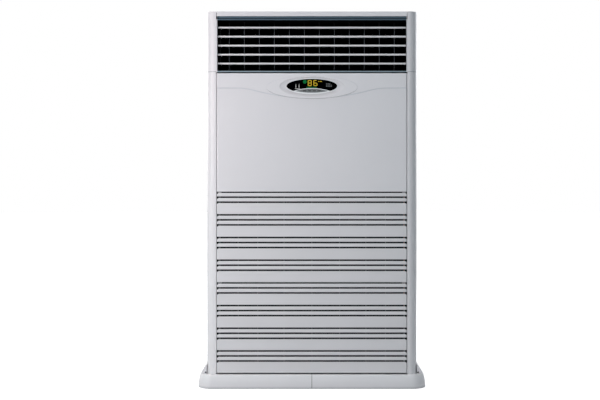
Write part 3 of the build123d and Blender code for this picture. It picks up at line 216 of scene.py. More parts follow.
def zone(tree, place, *tests):   # 1 where every test of a coordinate's axis holds
    mask = None
    for coordinate, axis, comparison, *limits in tests:
        parts = addNode(tree, "ShaderNodeSeparateXYZ", {}, [(0, place.outputs[coordinate])])
        part = addNode(tree, "ShaderNodeMath",
                       {"operation": comparison, **{i + 1: limit for i, limit in enumerate(limits)}},
                       [(0, parts.outputs[axis])]).outputs[0]
        if mask is not None:
            part = addNode(tree, "ShaderNodeMath", {"operation": "MULTIPLY"},
                           [(0, mask), (1, part)]).outputs[0]
        mask = part
    return mask


def ovalReach(tree, place, oval, middleZ):   # 1 on the oval's rim, less inside it
    fromMiddle = addNode(tree, "ShaderNodeVectorMath", {"operation": "SUBTRACT", 1: (0.0, 0.0, middleZ)},
                         [(0, place.outputs["Object"])])
    shrunk = addNode(tree, "ShaderNodeVectorMath",
                     {"operation": "MULTIPLY", 1: (1 / oval[0], 0.0, 1 / oval[1])},
                     [(0, fromMiddle.outputs[0])])
    return addNode(tree, "ShaderNodeVectorMath", {"operation": "LENGTH"},
                   [(0, shrunk.outputs[0])]).outputs["Value"]


# powder coated steel, sprayed and baked: satin white with a faint orange peel 2.6 mm across;
# the faces that look into the cabinet are painted near black as painted shade, which keeps the cabinet dark
# within
coatedSteel = {"ior": 1.5, "low": "#D3D2D6", "high": "#D9D8DB", "patch": 333.3, "roughness": (0.33, 0.42),
               "grain": 2.6, "bump": 0.05, "depth": 0.15, "foam": "#0A0A0B", "middle": (0.0, 0.0, 0.94)}

# the front panel's sheet sinks towards the display from an oval rim, and the tilted faces of its pressed wave
# are painted darker as painted shade, which draws the wave as a fine line
dish = {"oval": (0.163, 0.050), "middleZ": 1.504, "inner": 0.74, "deep": 0.0046,
        "crease": "#C8CAD0", "tilt": 0.12, "creaseMiddle": 1.485, "creaseReach": 0.075}


def addDish(tree, shader, place):
    slope = addNode(tree, "ShaderNodeMapRange", {"From Min": dish["inner"], "From Max": 1.0},
                    [("Value", ovalReach(tree, place, dish["oval"], dish["middleZ"]))])
    sunk = addNode(tree, "ShaderNodeBump", {"Strength": 1.0, "Distance": dish["deep"]},
                   [("Height", slope.outputs["Result"]),
                    ("Normal", shader.inputs["Normal"].links[0].from_socket)])
    tree.links.new(sunk.outputs["Normal"], shader.inputs["Normal"])


# painted shade on the wave's tilted faces near its height
def creases(tree, place):
    near = zone(tree, place, ("Object", "Z", "COMPARE", dish["creaseMiddle"], dish["creaseReach"]))
    flat = zone(tree, place, ("Normal", "Z", "COMPARE", 0.0, dish["tilt"]))
    return addNode(tree, "ShaderNodeMath", {"operation": "SUBTRACT", "use_clamp": True},
                   [(0, near), (1, flat)]).outputs[0]


def coatedSteelSheet(name, dished=False):
    look = coatedSteel
    material, tree, shader = startMaterial(name, {"IOR": look["ior"]})
    place = addGrain(tree, shader, look)
    paint = twoTones(tree, place, look)
    if dished:
        addDish(tree, shader, place)
        paint = coats(tree, paint, [(creases(tree, place), dish["crease"])])
    outward = addNode(tree, "ShaderNodeVectorMath", {"operation": "SUBTRACT", 1: look["middle"]},
                      [(0, place.outputs["Object"])])
    facing = addNode(tree, "ShaderNodeVectorMath", {"operation": "DOT_PRODUCT"},
                     [(0, outward.outputs[0]), (1, place.outputs["Normal"])])
    # faces turned into the cabinet get the near black painted shade
    inward = addNode(tree, "ShaderNodeMath", {"operation": "LESS_THAN", 1: 0.0},
                     [(0, facing.outputs["Value"])])
    tree.links.new(coats(tree, paint, [(inward.outputs[0], look["foam"])]), shader.inputs["Base Color"])
    return material


# injection moulded plastics and plain paints: two close tones and a grain from the mould or the spray
plasticIor = 1.53
plasticLevel = 0.5   # strength of the reflections, less on the black ones

# ABS from a sparked mould: white, a little glossier where hands rub the grain down
mouldedAbs = {"low": "#D6D5D8", "high": "#DBDADD", "patch": 250.0, "roughness": (0.38, 0.50),
              "grain": 0.9, "bump": 0.08, "depth": 0.08}
# the intake grilles' ABS is a shade greyer than the rest
grilleAbs = {**mouldedAbs, "low": "#CFCED1", "high": "#D4D3D6"}
# ABS blades from a polished mould: smooth, pale and slightly grey
bladeAbs = {"low": "#DADADC", "high": "#DFDFE1", "patch": 250.0, "roughness": (0.30, 0.40),
            "grain": 1.4, "bump": 0.03, "depth": 0.05}
# black ABS of the links and the swing motor: dull, so that it stays out of sight
blackAbs = {"low": "#08080A", "high": "#0D0D0F", "patch": 250.0, "roughness": (0.50, 0.62),
            "grain": 0.9, "bump": 0.08, "depth": 0.08, "level": 0.1}
# dark grey ABS of the buttons: finer grain with a soft sheen
buttonPlastic = {"low": "#1C1D1E", "high": "#242526", "patch": 250.0, "roughness": (0.45, 0.55),
                 "grain": 0.6, "bump": 0.08, "depth": 0.05}
# moulded nylon of the gland: black with a waxy sheen
nylonGland = {"low": "#131314", "high": "#1B1B1D", "patch": 250.0, "roughness": (0.40, 0.52),
              "grain": 0.8, "bump": 0.06, "depth": 0.05}
# moulded rubber of the gap lips: pale and quite matt, as painted light for the gaps' lit walls
lipRubber = {"low": "#DADADC", "high": "#E0E0E2", "patch": 250.0, "roughness": (0.6, 0.7),
             "grain": 0.8, "bump": 0.08, "depth": 0.05}
# air dried enamel of the motor: brushed on thick, so it shows coarse ripples
motorEnamel = {"low": "#1A1B1D", "high": "#232427", "patch": 250.0, "roughness": (0.30, 0.45),
               "grain": 3.0, "bump": 0.15, "depth": 0.2}
# printed solder mask of the board: glossy green
solderMask = {"low": "#0E4A22", "high": "#17602F", "patch": 250.0, "roughness": (0.25, 0.40),
              "grain": 4.0, "bump": 0.05, "depth": 0.1}


def mouldedPlastic(name, look, dress=None):
    sockets = {"IOR": plasticIor, "Specular IOR Level": look.get("level", plasticLevel)}
    return grainedSurface(name, look, sockets, dress=dress)


# painted shade: near black from 3 mm within the grilles' slots, on their edges and in a wedge below each end,
# makes them read as dark lines; the rib fronts deep in the slots get grey painted shade, and slots repeat in
# groups down from the joint above
slotSpray = {"from": 0.003, "black": "#0B0C0D", "rib": "#6E7073", "group": 0.113, "step": 0.025,
             "slot": 0.0065, "edge": 0.0009, "inGroup": 0.063, "wedge": 0.0040, "wedgeFrom": 0.4655,
             "wedgeWide": 0.0030, "forward": -0.9}


def blackInSlots(tree, place, colour):
    look = slotSpray
    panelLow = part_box("front_panel")[0][2]
    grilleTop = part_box("intake_grille_upper")[1][2]
    jointZ = (panelLow + grilleTop) / 2 + look["slot"] / 2 + look["edge"]
    blackHigh = look["slot"] + 2 * look["edge"]
    point = addNode(tree, "ShaderNodeSeparateXYZ", {}, [(0, place.outputs["Object"])])
    down = addNode(tree, "ShaderNodeMath", {"operation": "SUBTRACT", 0: jointZ}, [(1, point.outputs["Z"])])
    inGroup = addNode(tree, "ShaderNodeMath", {"operation": "FLOORED_MODULO", 1: look["group"]},
                      [(0, down.outputs[0])])
    inStep = addNode(tree, "ShaderNodeMath", {"operation": "FLOORED_MODULO", 1: look["step"]},
                     [(0, inGroup.outputs[0])])
    across = addNode(tree, "ShaderNodeMath", {"operation": "ABSOLUTE"}, [(0, point.outputs["X"])])
    reach = addNode(tree, "ShaderNodeMapRange",
                    {"From Min": look["wedgeFrom"], "From Max": look["wedgeFrom"] + look["wedgeWide"],
                     "To Min": blackHigh, "To Max": blackHigh + look["wedge"]},
                    [("Value", across.outputs[0])])
    inSlot = addNode(tree, "ShaderNodeMath", {"operation": "LESS_THAN"},
                     [(0, inStep.outputs[0]), (1, reach.outputs["Result"])])
    grouped = addNode(tree, "ShaderNodeMath", {"operation": "LESS_THAN", 1: look["inGroup"]},
                      [(0, inGroup.outputs[0])])
    black = addNode(tree, "ShaderNodeMath", {"operation": "MULTIPLY"},
                    [(0, inSlot.outputs[0]), (1, grouped.outputs[0])])
    # the slots, their edges and the end wedges get near black painted shade
    shallow = zone(tree, place, ("Object", "Y", "LESS_THAN", faceY + look["from"]))
    shown = addNode(tree, "ShaderNodeMath", {"operation": "SUBTRACT", "use_clamp": True},
                    [(0, shallow), (1, black.outputs[0])])
    # rib fronts deeper than the shallow part get grey painted shade
    forward = zone(tree, place, ("Normal", "Y", "LESS_THAN", look["forward"]))
    ribFront = addNode(tree, "ShaderNodeMath", {"operation": "SUBTRACT", "use_clamp": True},
                       [(0, forward), (1, shallow)])
    inside = coats(tree, look["black"], [(ribFront.outputs[0], look["rib"])])
    return coats(tree, inside, [(shown.outputs[0], colour)])


# the skirt's ABS gets a painted highlight where its curve turns up, and painted shade, greyer, near the floor
rubbed = {"paler": "#F7F7F8", "from": 0.10, "to": 0.75, "toe": "#AEAEB2", "toeLow": 0.003, "toeHigh": 0.016}


def rubbedEdges(tree, place, colour):
    facing = addNode(tree, "ShaderNodeSeparateXYZ", {}, [(0, place.outputs["Normal"])])
    upward = addNode(tree, "ShaderNodeMapRange", {"From Min": rubbed["from"], "From Max": rubbed["to"]},
                     [("Value", facing.outputs["Z"])])
    point = addNode(tree, "ShaderNodeSeparateXYZ", {}, [(0, place.outputs["Object"])])
    scuff = addNode(tree, "ShaderNodeMapRange", {"From Min": rubbed["toeHigh"], "From Max": rubbed["toeLow"]},
                    [("Value", point.outputs["Z"])])
    # painted highlight on faces turned up, painted shade close to the floor
    return coats(tree, colour, [(upward.outputs["Result"], rubbed["paler"]),
                                (scuff.outputs["Result"], rubbed["toe"])])


# painted shade where the short upper corner trim meets the long lower one draws a faint line
cornerDust = {"shade": "#AFB1B5", "reach": 0.0017}


def dustyJoint(tree, place, colour):
    meetZ = (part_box("pillar_upper_left")[0][2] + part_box("pillar_lower_left")[1][2]) / 2
    # a band of painted shade at the trims' meeting height
    dusty = zone(tree, place, ("Object", "Z", "COMPARE", meetZ, cornerDust["reach"]))
    return coats(tree, colour, [(dusty, cornerDust["shade"])])


# the vanes' ABS: flanks painted black as painted shade, so that they vanish in the outlet, and front edges
# painted grey as painted light, where they catch the lamps
vaneAbs = {"flank": "#060607", "edge": "#5E656B", "roughness": 0.5, "level": 0.1, "grain": 0.9, "bump": 0.06,
           "depth": 0.08, "forward": -0.4, "wornLow": 1.603, "wornHigh": 1.806}


def edgedVane(name):
    look = vaneAbs
    material, tree, shader = startMaterial(name, {"Specular IOR Level": look["level"]})
    place = addGrain(tree, shader, look)
    middle = (look["wornLow"] + look["wornHigh"]) / 2
    # grey painted light on the front faces within the outlet's height, black painted shade elsewhere
    edge = zone(tree, place, ("Normal", "Y", "LESS_THAN", look["forward"]),
                ("Object", "Z", "COMPARE", middle, look["wornHigh"] - middle))
    tree.links.new(coats(tree, look["flank"], [(edge, look["edge"])]), shader.inputs["Base Color"])
    return material


# the outlet surround's ABS: white on its side edges; the front strip above and the sill are painted blue-grey
# as painted shade, and the air way is painted black as painted shade
surroundAbs = {"strip": "#576B79", "sill": "#83939B", "edge": "#D8D9DC", "inside": "#040405",
               "roughness": 0.5, "level": 0.08, "grain": 0.9, "bump": 0.06, "depth": 0.08,
               "forward": -0.5, "stripBack": 0.020, "halfOpening": 0.4712, "middle": 1.70,
               "sillTop": 1.5836}


def outletSurround(name):
    look = surroundAbs
    material, tree, shader = startMaterial(name, {"IOR": plasticIor, "Specular IOR Level": look["level"]})
    place = addGrain(tree, shader, look)
    onSill = zone(tree, place, ("Object", "Z", "LESS_THAN", look["sillTop"]))
    lowHalf = zone(tree, place, ("Object", "Z", "LESS_THAN", look["middle"]))
    inner = zone(tree, place, ("Object", "X", "COMPARE", 0.0, look["halfOpening"]))
    shown = zone(tree, place, ("Normal", "Y", "LESS_THAN", look["forward"]),
                 ("Object", "Y", "LESS_THAN", faceY + look["stripBack"]))
    # painted shade: blue-grey on the sill and front strip, black in the air way
    ledge = coats(tree, look["inside"], [(onSill, look["sill"])])
    front = coats(tree, look["strip"], [(lowHalf, ledge)])
    edged = coats(tree, look["edge"], [(inner, front)])
    tree.links.new(coats(tree, look["inside"], [(shown, edged)]), shader.inputs["Base Color"])
    return material


# cast acrylic, smoked: near black and mirror smooth, with an anti-glare coat that keeps reflections low
smokedAcrylic = {"ior": 1.49, "level": 0.0, "low": "#010101", "high": "#010102", "patch": 40.0,
                 "roughness": 0.08, "grain": 40.0, "bump": 0.01, "depth": 0.05}


def smokedWindow(name):
    look = smokedAcrylic
    return grainedSurface(name, look, {"IOR": look["ior"], "Specular IOR Level": look["level"]}, fineDetail)


# the bezel's ABS, vacuum metallised under a milky lacquer: bright on its proud rim, with a painted highlight
# on the hump within the window's oval and painted shade, grey, in the sunk crescent
metallised = {"metallic": 0.1, "rim": "#DCDDDF", "hump": "#F4F4F6", "sunk": "#5C5E60",
              "roughness": (0.30, 0.40), "grain": 1.2, "bump": 0.08, "depth": 0.03,
              "sunkFrom": -0.0026, "oval": (0.1235, 0.0325), "middleZ": 1.508}


def metallisedTrim(name):
    look = metallised
    material, tree, shader = startMaterial(name, {"Metallic": look["metallic"]})
    place = addGrain(tree, shader, look)
    # painted highlight on the hump, painted shade in the sunk crescent
    proud = zone(tree, place, ("Object", "Y", "LESS_THAN", faceY + look["sunkFrom"]))
    inOval = addNode(tree, "ShaderNodeMath", {"operation": "LESS_THAN", 1: 1.0},
                     [(0, ovalReach(tree, place, look["oval"], look["middleZ"]))])
    rim = coats(tree, look["rim"], [(inOval.outputs[0], look["hump"])])
    tree.links.new(coats(tree, look["sunk"], [(proud, rim)]), shader.inputs["Base Color"])
    return material


# zinc plated steel, plated in a barrel: bright, and dulled in cloudy patches
zincPlate = {"low": "#8E9194", "high": "#B2B5B8", "patch": 40.0, "roughness": (0.28, 0.42),
             "grain": 1.5, "bump": 0.12, "depth": 0.03}
# blackened steel of the base's screws: an oxide bath leaves it dark grey with a low shine
blackOxide = {"low": "#3C3D40", "high": "#48494C", "patch": 40.0, "roughness": (0.35, 0.5),
              "grain": 1.5, "bump": 0.12, "depth": 0.03}
# drawn copper tube: warm, with the dark patches of handling
copperTube = {"low": "#A8623C", "high": "#C67F55", "patch": 40.0, "roughness": (0.26, 0.40),
              "grain": 2.5, "bump": 0.12, "depth": 0.03}


def metalSurface(name, look):
    return grainedSurface(name, look, {"Metallic": 1.0}, fineDetail)


# hot dip galvanised sheet: flat grey with zinc crystals about 9 mm across, each with its own shine
galvanised = {"low": "#7C8186", "high": "#959A9F", "roughness": (0.34, 0.52), "crystal": 9.0}


def galvanisedSheet(name):
    look = galvanised
    material, tree, shader = startMaterial(name, {"Metallic": 1.0})
    place = addNode(tree, "ShaderNodeTexCoord", {})
    crystals = addNode(tree, "ShaderNodeTexVoronoi", {"Scale": 1 / (look["crystal"] * mm)},
                       [("Vector", place.outputs["Object"])])
    shade = addNode(tree, "ShaderNodeSeparateColor", {}, [(0, crystals.outputs["Color"])])
    low, high = look["roughness"]
    gloss = addNode(tree, "ShaderNodeMapRange", {"To Min": low, "To Max": high},
                    [("Value", shade.outputs[1])])
    tree.links.new(coats(tree, look["low"], [(shade.outputs[0], look["high"])]), shader.inputs["Base Color"])
    tree.links.new(gloss.outputs["Result"], shader.inputs["Roughness"])
    return material


waveRepeat = 0.314   # a wave texture of scale 1 repeats after this length

# filter net: black nylon woven at 1.2 mm, drawn at 3 mm so that the weave shows as fine squares
filterNet = {"thread": "#2A2C2F", "gap": "#08090A", "pitch": 3.0, "roughness": 0.7, "bump": 0.4, "depth": 0.4}


def wovenNet(name):
    look = filterNet
    material, tree, shader = startMaterial(name, {"Roughness": look["roughness"]})
    place = addNode(tree, "ShaderNodeTexCoord", {})
    threads = [addNode(tree, "ShaderNodeTexWave",
                       {"wave_type": "BANDS", "bands_direction": direction,
                        "Scale": waveRepeat / (look["pitch"] * mm)},
                       [("Vector", place.outputs["Object"])]) for direction in ("X", "Z")]
    weave = addNode(tree, "ShaderNodeMath", {"operation": "MAXIMUM"},
                    [(0, threads[0].outputs["Fac"]), (1, threads[1].outputs["Fac"])])
    bump = addNode(tree, "ShaderNodeBump", {"Strength": look["bump"], "Distance": look["depth"] * mm},
                   [("Height", weave.outputs[0])])
    tree.links.new(bump.outputs["Normal"], shader.inputs["Normal"])
    net = coats(tree, look["gap"], [(weave.outputs[0], look["thread"])])
    tree.links.new(net, shader.inputs["Base Color"])
    return material


# coil: aluminium fins pressed 2 mm apart, drawn at 4 mm so that they show as fine upright lines
finPack = {"fin": "#A9ADB0", "gap": "#2B2D2F", "pitch": 4.0, "roughness": 0.42, "bump": 0.6, "depth": 1.0}


def finnedCoil(name):
    look = finPack
    material, tree, shader = startMaterial(name, {"Metallic": 1.0, "Roughness": look["roughness"]})
    place = addNode(tree, "ShaderNodeTexCoord", {})
    fins = addNode(tree, "ShaderNodeTexWave",
                   {"wave_type": "BANDS", "bands_direction": "X", "Scale": waveRepeat / (look["pitch"] * mm)},
                   [("Vector", place.outputs["Object"])])
    bump = addNode(tree, "ShaderNodeBump", {"Strength": look["bump"], "Distance": look["depth"] * mm},
                   [("Height", fins.outputs["Fac"])])
    tree.links.new(bump.outputs["Normal"], shader.inputs["Normal"])
    stack = coats(tree, look["gap"], [(fins.outputs["Fac"], look["fin"])])
    tree.links.new(stack, shader.inputs["Base Color"])
    return material


sheetPaint = coatedSteelSheet("powderCoatedSteel")
whiteAbs = mouldedPlastic("mouldedWhiteAbs", mouldedAbs)
darkAbs = mouldedPlastic("mouldedBlackAbs", blackAbs)
zinc = galvanisedSheet("galvanisedSteelSheet")
screwZinc = metalSurface("zincPlatedSteel", zincPlate)
finishes = {
    "top_cover": sheetPaint, "side_panel_left": sheetPaint, "side_panel_right": sheetPaint,
    "back_panel": sheetPaint, "front_panel": coatedSteelSheet("dishedPowderCoatedSteel", True),
    "outlet_frame": outletSurround("paintedOutletAbs"),
    "display_bezel": metallisedTrim("metallisedBezel"),
    "display_lens": smokedWindow("smokedAcrylic"),
    "display_board": mouldedPlastic("solderMaskBoard", solderMask),
    "evaporator": finnedCoil("pressedAluminiumFins"),
    "refrigerant_pipes": metalSurface("drawnCopperTube", copperTube),
    "blower_motor": mouldedPlastic("airDriedEnamel", motorEnamel),
    "cable_gland": mouldedPlastic("mouldedNylon", nylonGland),
    "louvre_link": darkAbs, "vane_link": darkAbs, "swing_motor": darkAbs,
    "blower_shaft": screwZinc, "levelling_feet": screwZinc, "casing_screws": screwZinc,
    "grille_catches": whiteAbs,
}
families = {
    "louvre_": mouldedPlastic("polishedLouvreAbs", bladeAbs),
    "vane_": edgedVane("edgedVaneAbs"),
    "button_": mouldedPlastic("mouldedButtonAbs", buttonPlastic),
    "filter_": wovenNet("wovenNylonNet"),
    "pillar_": mouldedPlastic("cornerTrimAbs", mouldedAbs, dustyJoint),
    "skirt_": mouldedPlastic("rubbedWhiteAbs", mouldedAbs, rubbedEdges),
    "intake_grille_": mouldedPlastic("slottedWhiteAbs", grilleAbs, blackInSlots),
}
for name, node in nodes.items():
    finish = finishes.get(name)
    if finish is None:
        finish = next((paint for start, paint in families.items() if name.startswith(start)), zinc)
    node.data.materials.clear()
    node.data.materials.append(finish)
print("materials on", len(nodes), "nodes")


# pieces made here ride the cabinet unless another body is named
def newPiece(name, build, paint, body="cabinet"):
    mesh = bpy.data.meshes.new(name)
    shape = bmesh.new()
    build(shape)
    bmesh.ops.recalc_face_normals(shape, faces=shape.faces)
    shape.to_mesh(mesh)
    shape.free()
    mesh.materials.append(paint)
    piece = bpy.data.objects.new(name, mesh)
    bpy.context.collection.objects.link(piece)
    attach(piece, body)
    return piece


def addPrism(shape, outline, front, thick):
    back = [shape.verts.new((x, front + thick, z)) for x, z in outline]
    near = [shape.verts.new((x, front, z)) for x, z in outline]
    shape.faces.new(near)
    shape.faces.new(list(reversed(back)))
    for i in range(len(outline)):
        j = (i + 1) % len(outline)
        shape.faces.new((near[i], back[i], back[j], near[j]))


def rectangle(x0, x1, z0, z1):
    return [(x0, z0), (x1, z0), (x1, z1), (x0, z1)]


def addBox(shape, low, high):
    addPrism(shape, rectangle(low[0], high[0], low[2], high[2]), low[1], high[1] - low[1])


# closed cell foam, blown black: its pores, 1.5 mm across, leave it dead black with no shine; here it is
# painted shade
plenumFoam = {"low": "#020202", "high": "#050505", "patch": 1.5, "level": 0.0, "roughness": 1.0,
              "grain": 1.5, "bump": 0.3, "depth": 0.4}
foam = grainedSurface("blackPlenumFoam", plenumFoam, {"Specular IOR Level": plenumFoam["level"]}, fineDetail)

# a black foam liner is painted shade that keeps the plenum behind the outlet dark
liner = {"halfWidth": 0.490, "startGap": 0.0015, "backGap": 0.010, "lowGap": 0.012, "topGap": 0.030,
         "thick": 0.006}


def plenum(shape):
    xs = (-liner["halfWidth"], liner["halfWidth"])
    ys = (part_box("outlet_frame")[1][1] + liner["startGap"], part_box("back_panel")[0][1] - liner["backGap"])
    zs = (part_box("front_panel")[1][2] + liner["lowGap"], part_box("top_cover")[1][2] - liner["topGap"])
    ends = (0, 1)
    corners = {(i, j, k): shape.verts.new((xs[i], ys[j], zs[k])) for i in ends for j in ends for k in ends}
    walls = [[(0, 0, 0), (0, 1, 0), (0, 1, 1), (0, 0, 1)], [(1, 0, 0), (1, 0, 1), (1, 1, 1), (1, 1, 0)],
             [(0, 1, 0), (1, 1, 0), (1, 1, 1), (0, 1, 1)], [(0, 0, 1), (0, 1, 1), (1, 1, 1), (1, 0, 1)]]
    for wall in walls:   # left, right, back and top; open in front and below
        shape.faces.new([corners[key] for key in wall])


# the liner is painted shade over the cabinet's interior
plenumLiner = newPiece("plenumLiner", plenum, foam)
thicken = plenumLiner.modifiers.new("thickness", "SOLIDIFY")
thicken.thickness = liner["thick"]
thicken.offset = 1.0
print("plenum liner made")

# seals: a black foam strip in the joint above the upper grille and a dark tongue behind the seam of the
# skirt, both painted shade, and pale rubber lips in the gaps beside the panels, painted light for the gaps'
# lit walls
seals = {"jointIn": 0.0025, "jointDeep": 0.0025, "jointClear": 0.0003, "jointShort": 0.004,
         "lipIn": 0.0005, "lipDeep": 0.0030, "lipWide": 0.0017, "lipClear": 0.00005, "lipLow": 0.080,
         "lipTop": 1.570, "tongueHalf": 0.009, "tongueIn": 0.014, "tongueThick": 0.0015,
         "tongueLow": 0.0008, "tongueTop": 0.066}


# painted shade in the joint above the upper grille
def jointStrip(shape):
    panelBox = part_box("front_panel")
    x = panelBox[1][0] - seals["jointShort"]
    y = faceY + seals["jointIn"]
    addBox(shape, (-x, y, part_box("intake_grille_upper")[1][2] + seals["jointClear"]),
           (x, y + seals["jointDeep"], panelBox[0][2] - seals["jointClear"]))


# pale lips as painted light for the lit walls of the gaps
def rubberLips(shape):
    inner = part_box("pillar_lower_right")[0][0] + seals["lipClear"]
    y = faceY + seals["lipIn"]
    for side in (-1, 1):
        x0, x1 = sorted((side * (inner - seals["lipWide"]), side * inner))
        addBox(shape, (x0, y, seals["lipLow"]), (x1, y + seals["lipDeep"], seals["lipTop"]))


# a dark tongue as painted shade in the skirt's seam
def skirtTongue(shape):
    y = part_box("skirt_front_left")[0][1] + seals["tongueIn"]
    addBox(shape, (-seals["tongueHalf"], y, seals["tongueLow"]),
           (seals["tongueHalf"], y + seals["tongueThick"], seals["tongueTop"]))


# black foam plugs close the ends of the slots as painted shade, and tilt with their grille
plugs = {"inner": 0.4655, "outer": 0.4736, "in": 0.0016, "deep": 0.0080, "clear": 0.0002, "aboveTop": 0.0025,
         "groups": 4, "slots": 3}


# plugs of painted shade at both ends of each slot
def slotPlugs(shape, grille):
    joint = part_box(grille)[1][2] + plugs["aboveTop"]   # middle of the joint above, which is the first slot
    half = slotSpray["slot"] / 2 - plugs["clear"]
    y = faceY + plugs["in"]
    for group in range(plugs["groups"]):
        for slot in range(plugs["slots"]):
            if group == slot == 0:
                continue
            z = joint - group * slotSpray["group"] - slot * slotSpray["step"]
            for side in (-1, 1):
                x0, x1 = sorted((side * plugs["inner"], side * plugs["outer"]))
                addBox(shape, (x0, y, z - half), (x1, y + plugs["deep"], z + half))


for level in ("upper", "lower"):
    newPiece(f"slotPlugs_{level}", lambda shape: slotPlugs(shape, f"intake_grille_{level}"), foam,
             f"intake_{level}")
newPiece("jointStrip", jointStrip, foam)
newPiece("rubberLips", rubberLips, mouldedPlastic("paleSealRubber", lipRubber))
newPiece("skirtTongue", skirtTongue, darkAbs)
print("seals made")

# stiffening beads pressed outward in the plain back and side sheets, shorter above the service recess
beads = {"high": 0.0014, "halfWide": 0.011, "endSteps": 6, "bands": 5, "tip": 0.00002, "top": 1.66,
         "backAcross": (-0.40, -0.20, 0.0), "backLow": 0.30, "recessAcross": (0.20, 0.40), "recessLow": 0.56,
         "sideAcross": (-0.060, 0.120), "sideLow": 0.26}
beadRuns = [("back", x, beads["backLow"]) for x in beads["backAcross"]]
beadRuns += [("back", x, beads["recessLow"]) for x in beads["recessAcross"]]
beadRuns += [(side, y, beads["sideLow"]) for side in ("left", "right") for y in beads["sideAcross"]]


def addBead(shape, wall, across, low):
    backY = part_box("back_panel")[1][1]
    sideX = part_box("side_panel_right")[1][0]
    w = beads["halfWide"]
    high = beads["top"]
    steps = beads["endSteps"]
    heights = [low + w * (1 - math.cos(math.pi / 2 * k / steps)) for k in range(steps + 1)]
    heights += [high - (h - low) for h in reversed(heights)]
    rows = []
    for h in heights:
        inset = max(low + w - h, h - (high - w), 0.0)
        half = math.sqrt(max(w * w - inset * inset, 0.0)) + beads["tip"]
        row = []
        for k in range(beads["bands"] + 1):
            t = 2 * k / beads["bands"] - 1
            out = beads["high"] * (1 - t * t) * min(1.0, half / w)
            if wall == "back":
                row.append(shape.verts.new((across + half * t, backY + out, h)))
            else:
                side = 1 if wall == "right" else -1
                row.append(shape.verts.new((side * (sideX + out), across + half * t, h)))
        rows.append(row)
    for i in range(len(rows) - 1):
        for k in range(beads["bands"]):
            shape.faces.new((rows[i][k], rows[i][k + 1], rows[i + 1][k + 1], rows[i + 1][k]))
    shape.faces.new([row[0] for row in rows] + [row[-1] for row in reversed(rows)])


def allBeads(shape):
    for run in beadRuns:
        addBead(shape, *run)


pressedBeads = newPiece("pressedBeads", allBeads, sheetPaint)
for face in pressedBeads.data.polygons:
    face.use_smooth = len(face.vertices) == 4   # the flat back stays flat
print("beads made")

# lit marks on the window, in millimetres from its middle: two seven segment digits and plain symbols
marks = {"proud": 0.00025, "thick": 0.0002, "middleZ": 1.5083, "digitWidth": 20.0, "digitHeight": 30.0,
         "stroke": 4.2, "gap": 0.5, "digitMiddleZ": 14.5, "digits": ((-10.5, "8"), (17.5, "6"))}
# moulded polycarbonate light guides: a little cloudy at 5 mm, so that the glow isn't dead even
guides = {"unlit": "#050505", "roughness": 0.6, "level": 0.0, "grain": 5.0, "bump": 0.05, "depth": 0.02,
          "patch": 5.0}
markGlow = {"yellow": ("#CDB034", "#E5C63E", 0.70), "green": ("#178E4E", "#1FA35C", 0.55),
            "white": ("#D9DCDA", "#F2F4F2", 0.55), "grey": ("#84898B", "#9AA0A2", 0.45)}
segments = {"8": "abcdefg", "6": "acdefg"}


def ring(x, z, radius, wide, sides=20):
    turns = [math.tau * k / sides for k in range(sides)]
    outer = [(x + radius * math.cos(turn), z + radius * math.sin(turn)) for turn in turns]
    inner = [(x + (px - x) * (1 - wide / radius), z + (pz - z) * (1 - wide / radius)) for px, pz in outer]
    return [[outer[k], outer[(k + 1) % sides], inner[(k + 1) % sides], inner[k]] for k in range(sides)]


def digit(x, figure):
    w = marks["digitWidth"] / 2
    h = marks["digitHeight"] / 2
    t = marks["stroke"]
    z = marks["digitMiddleZ"]
    gap = marks["gap"]
    places = {"a": (-w + t, w - t, h - t, h), "b": (w - t, w, gap, h - t / 2),
              "c": (w - t, w, -h + t / 2, -gap), "d": (-w + t, w - t, -h, -h + t),
              "e": (-w, -w + t, -h + t / 2, -gap), "f": (-w, -w + t, gap, h - t / 2),
              "g": (-w + t, w - t, -t / 2, t / 2)}
    lit = [places[letter] for letter in segments[figure]]
    return [rectangle(x + x0, x + x1, z + z0, z + z1) for x0, x1, z0, z1 in lit]


def star(x, z, radius, wide, count):
    lines = []
    for k in range(count):
        c = math.cos(math.pi * k / count)
        n = math.sin(math.pi * k / count)
        lines.append([(x + radius * c * a - wide * n * b, z + radius * n * a + wide * c * b)
                      for a, b in ((-1, -1), (1, -1), (1, 1), (-1, 1))])
    return lines


figures = {
    "yellow": [bar for x, figure in marks["digits"] for bar in digit(x, figure)]
              + [rectangle(31.0, 37.0, 21.0, 24.0), rectangle(39.5, 50.0, 21.0, 24.0)],
    "green": ring(-35.0, 21.0, 9.0, 2.6) + star(-35.0, 21.0, 6.0, 1.3, 3)
             + [rectangle(x, x + 7.5, -8.6, -4.6) for x in (-27.0, -16.5, -6.0, 4.5, 15.0)],
    "white": [rectangle(-81.5, -77.8, -8.0, 4.0), rectangle(-65.5, -61.8, -8.0, 4.0),
              rectangle(-81.0, -78.3, 6.5, 9.5), rectangle(-65.0, -62.3, 6.5, 9.5),
              rectangle(-84.0, -58.0, -15.0, -12.2)],
    "grey": [rectangle(71.0 + 7.6 * i, 76.6 + 7.6 * i, -4.0 + 6.4 * j, -0.4 + 6.4 * j)
             for i in range(4) for j in range(3) if (i, j) != (3, 2)],
}


def litMarks(shape, outlines):
    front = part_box("display_lens")[0][1] - marks["proud"]
    for outline in outlines:
        placed = [(x * mm, marks["middleZ"] + z * mm) for x, z in outline]
        addPrism(shape, placed, front, marks["thick"])


def lightGuide(name, low, high, strength):
    material, tree, shader = startMaterial(name, {
        "Base Color": hexColour(guides["unlit"]), "Specular IOR Level": guides["level"],
        "Emission Strength": strength})
    place = addGrain(tree, shader, guides)
    cloudy = twoTones(tree, place, {**guides, "low": low, "high": high}, fineDetail)
    tree.links.new(cloudy, shader.inputs["Emission Color"])
    return material


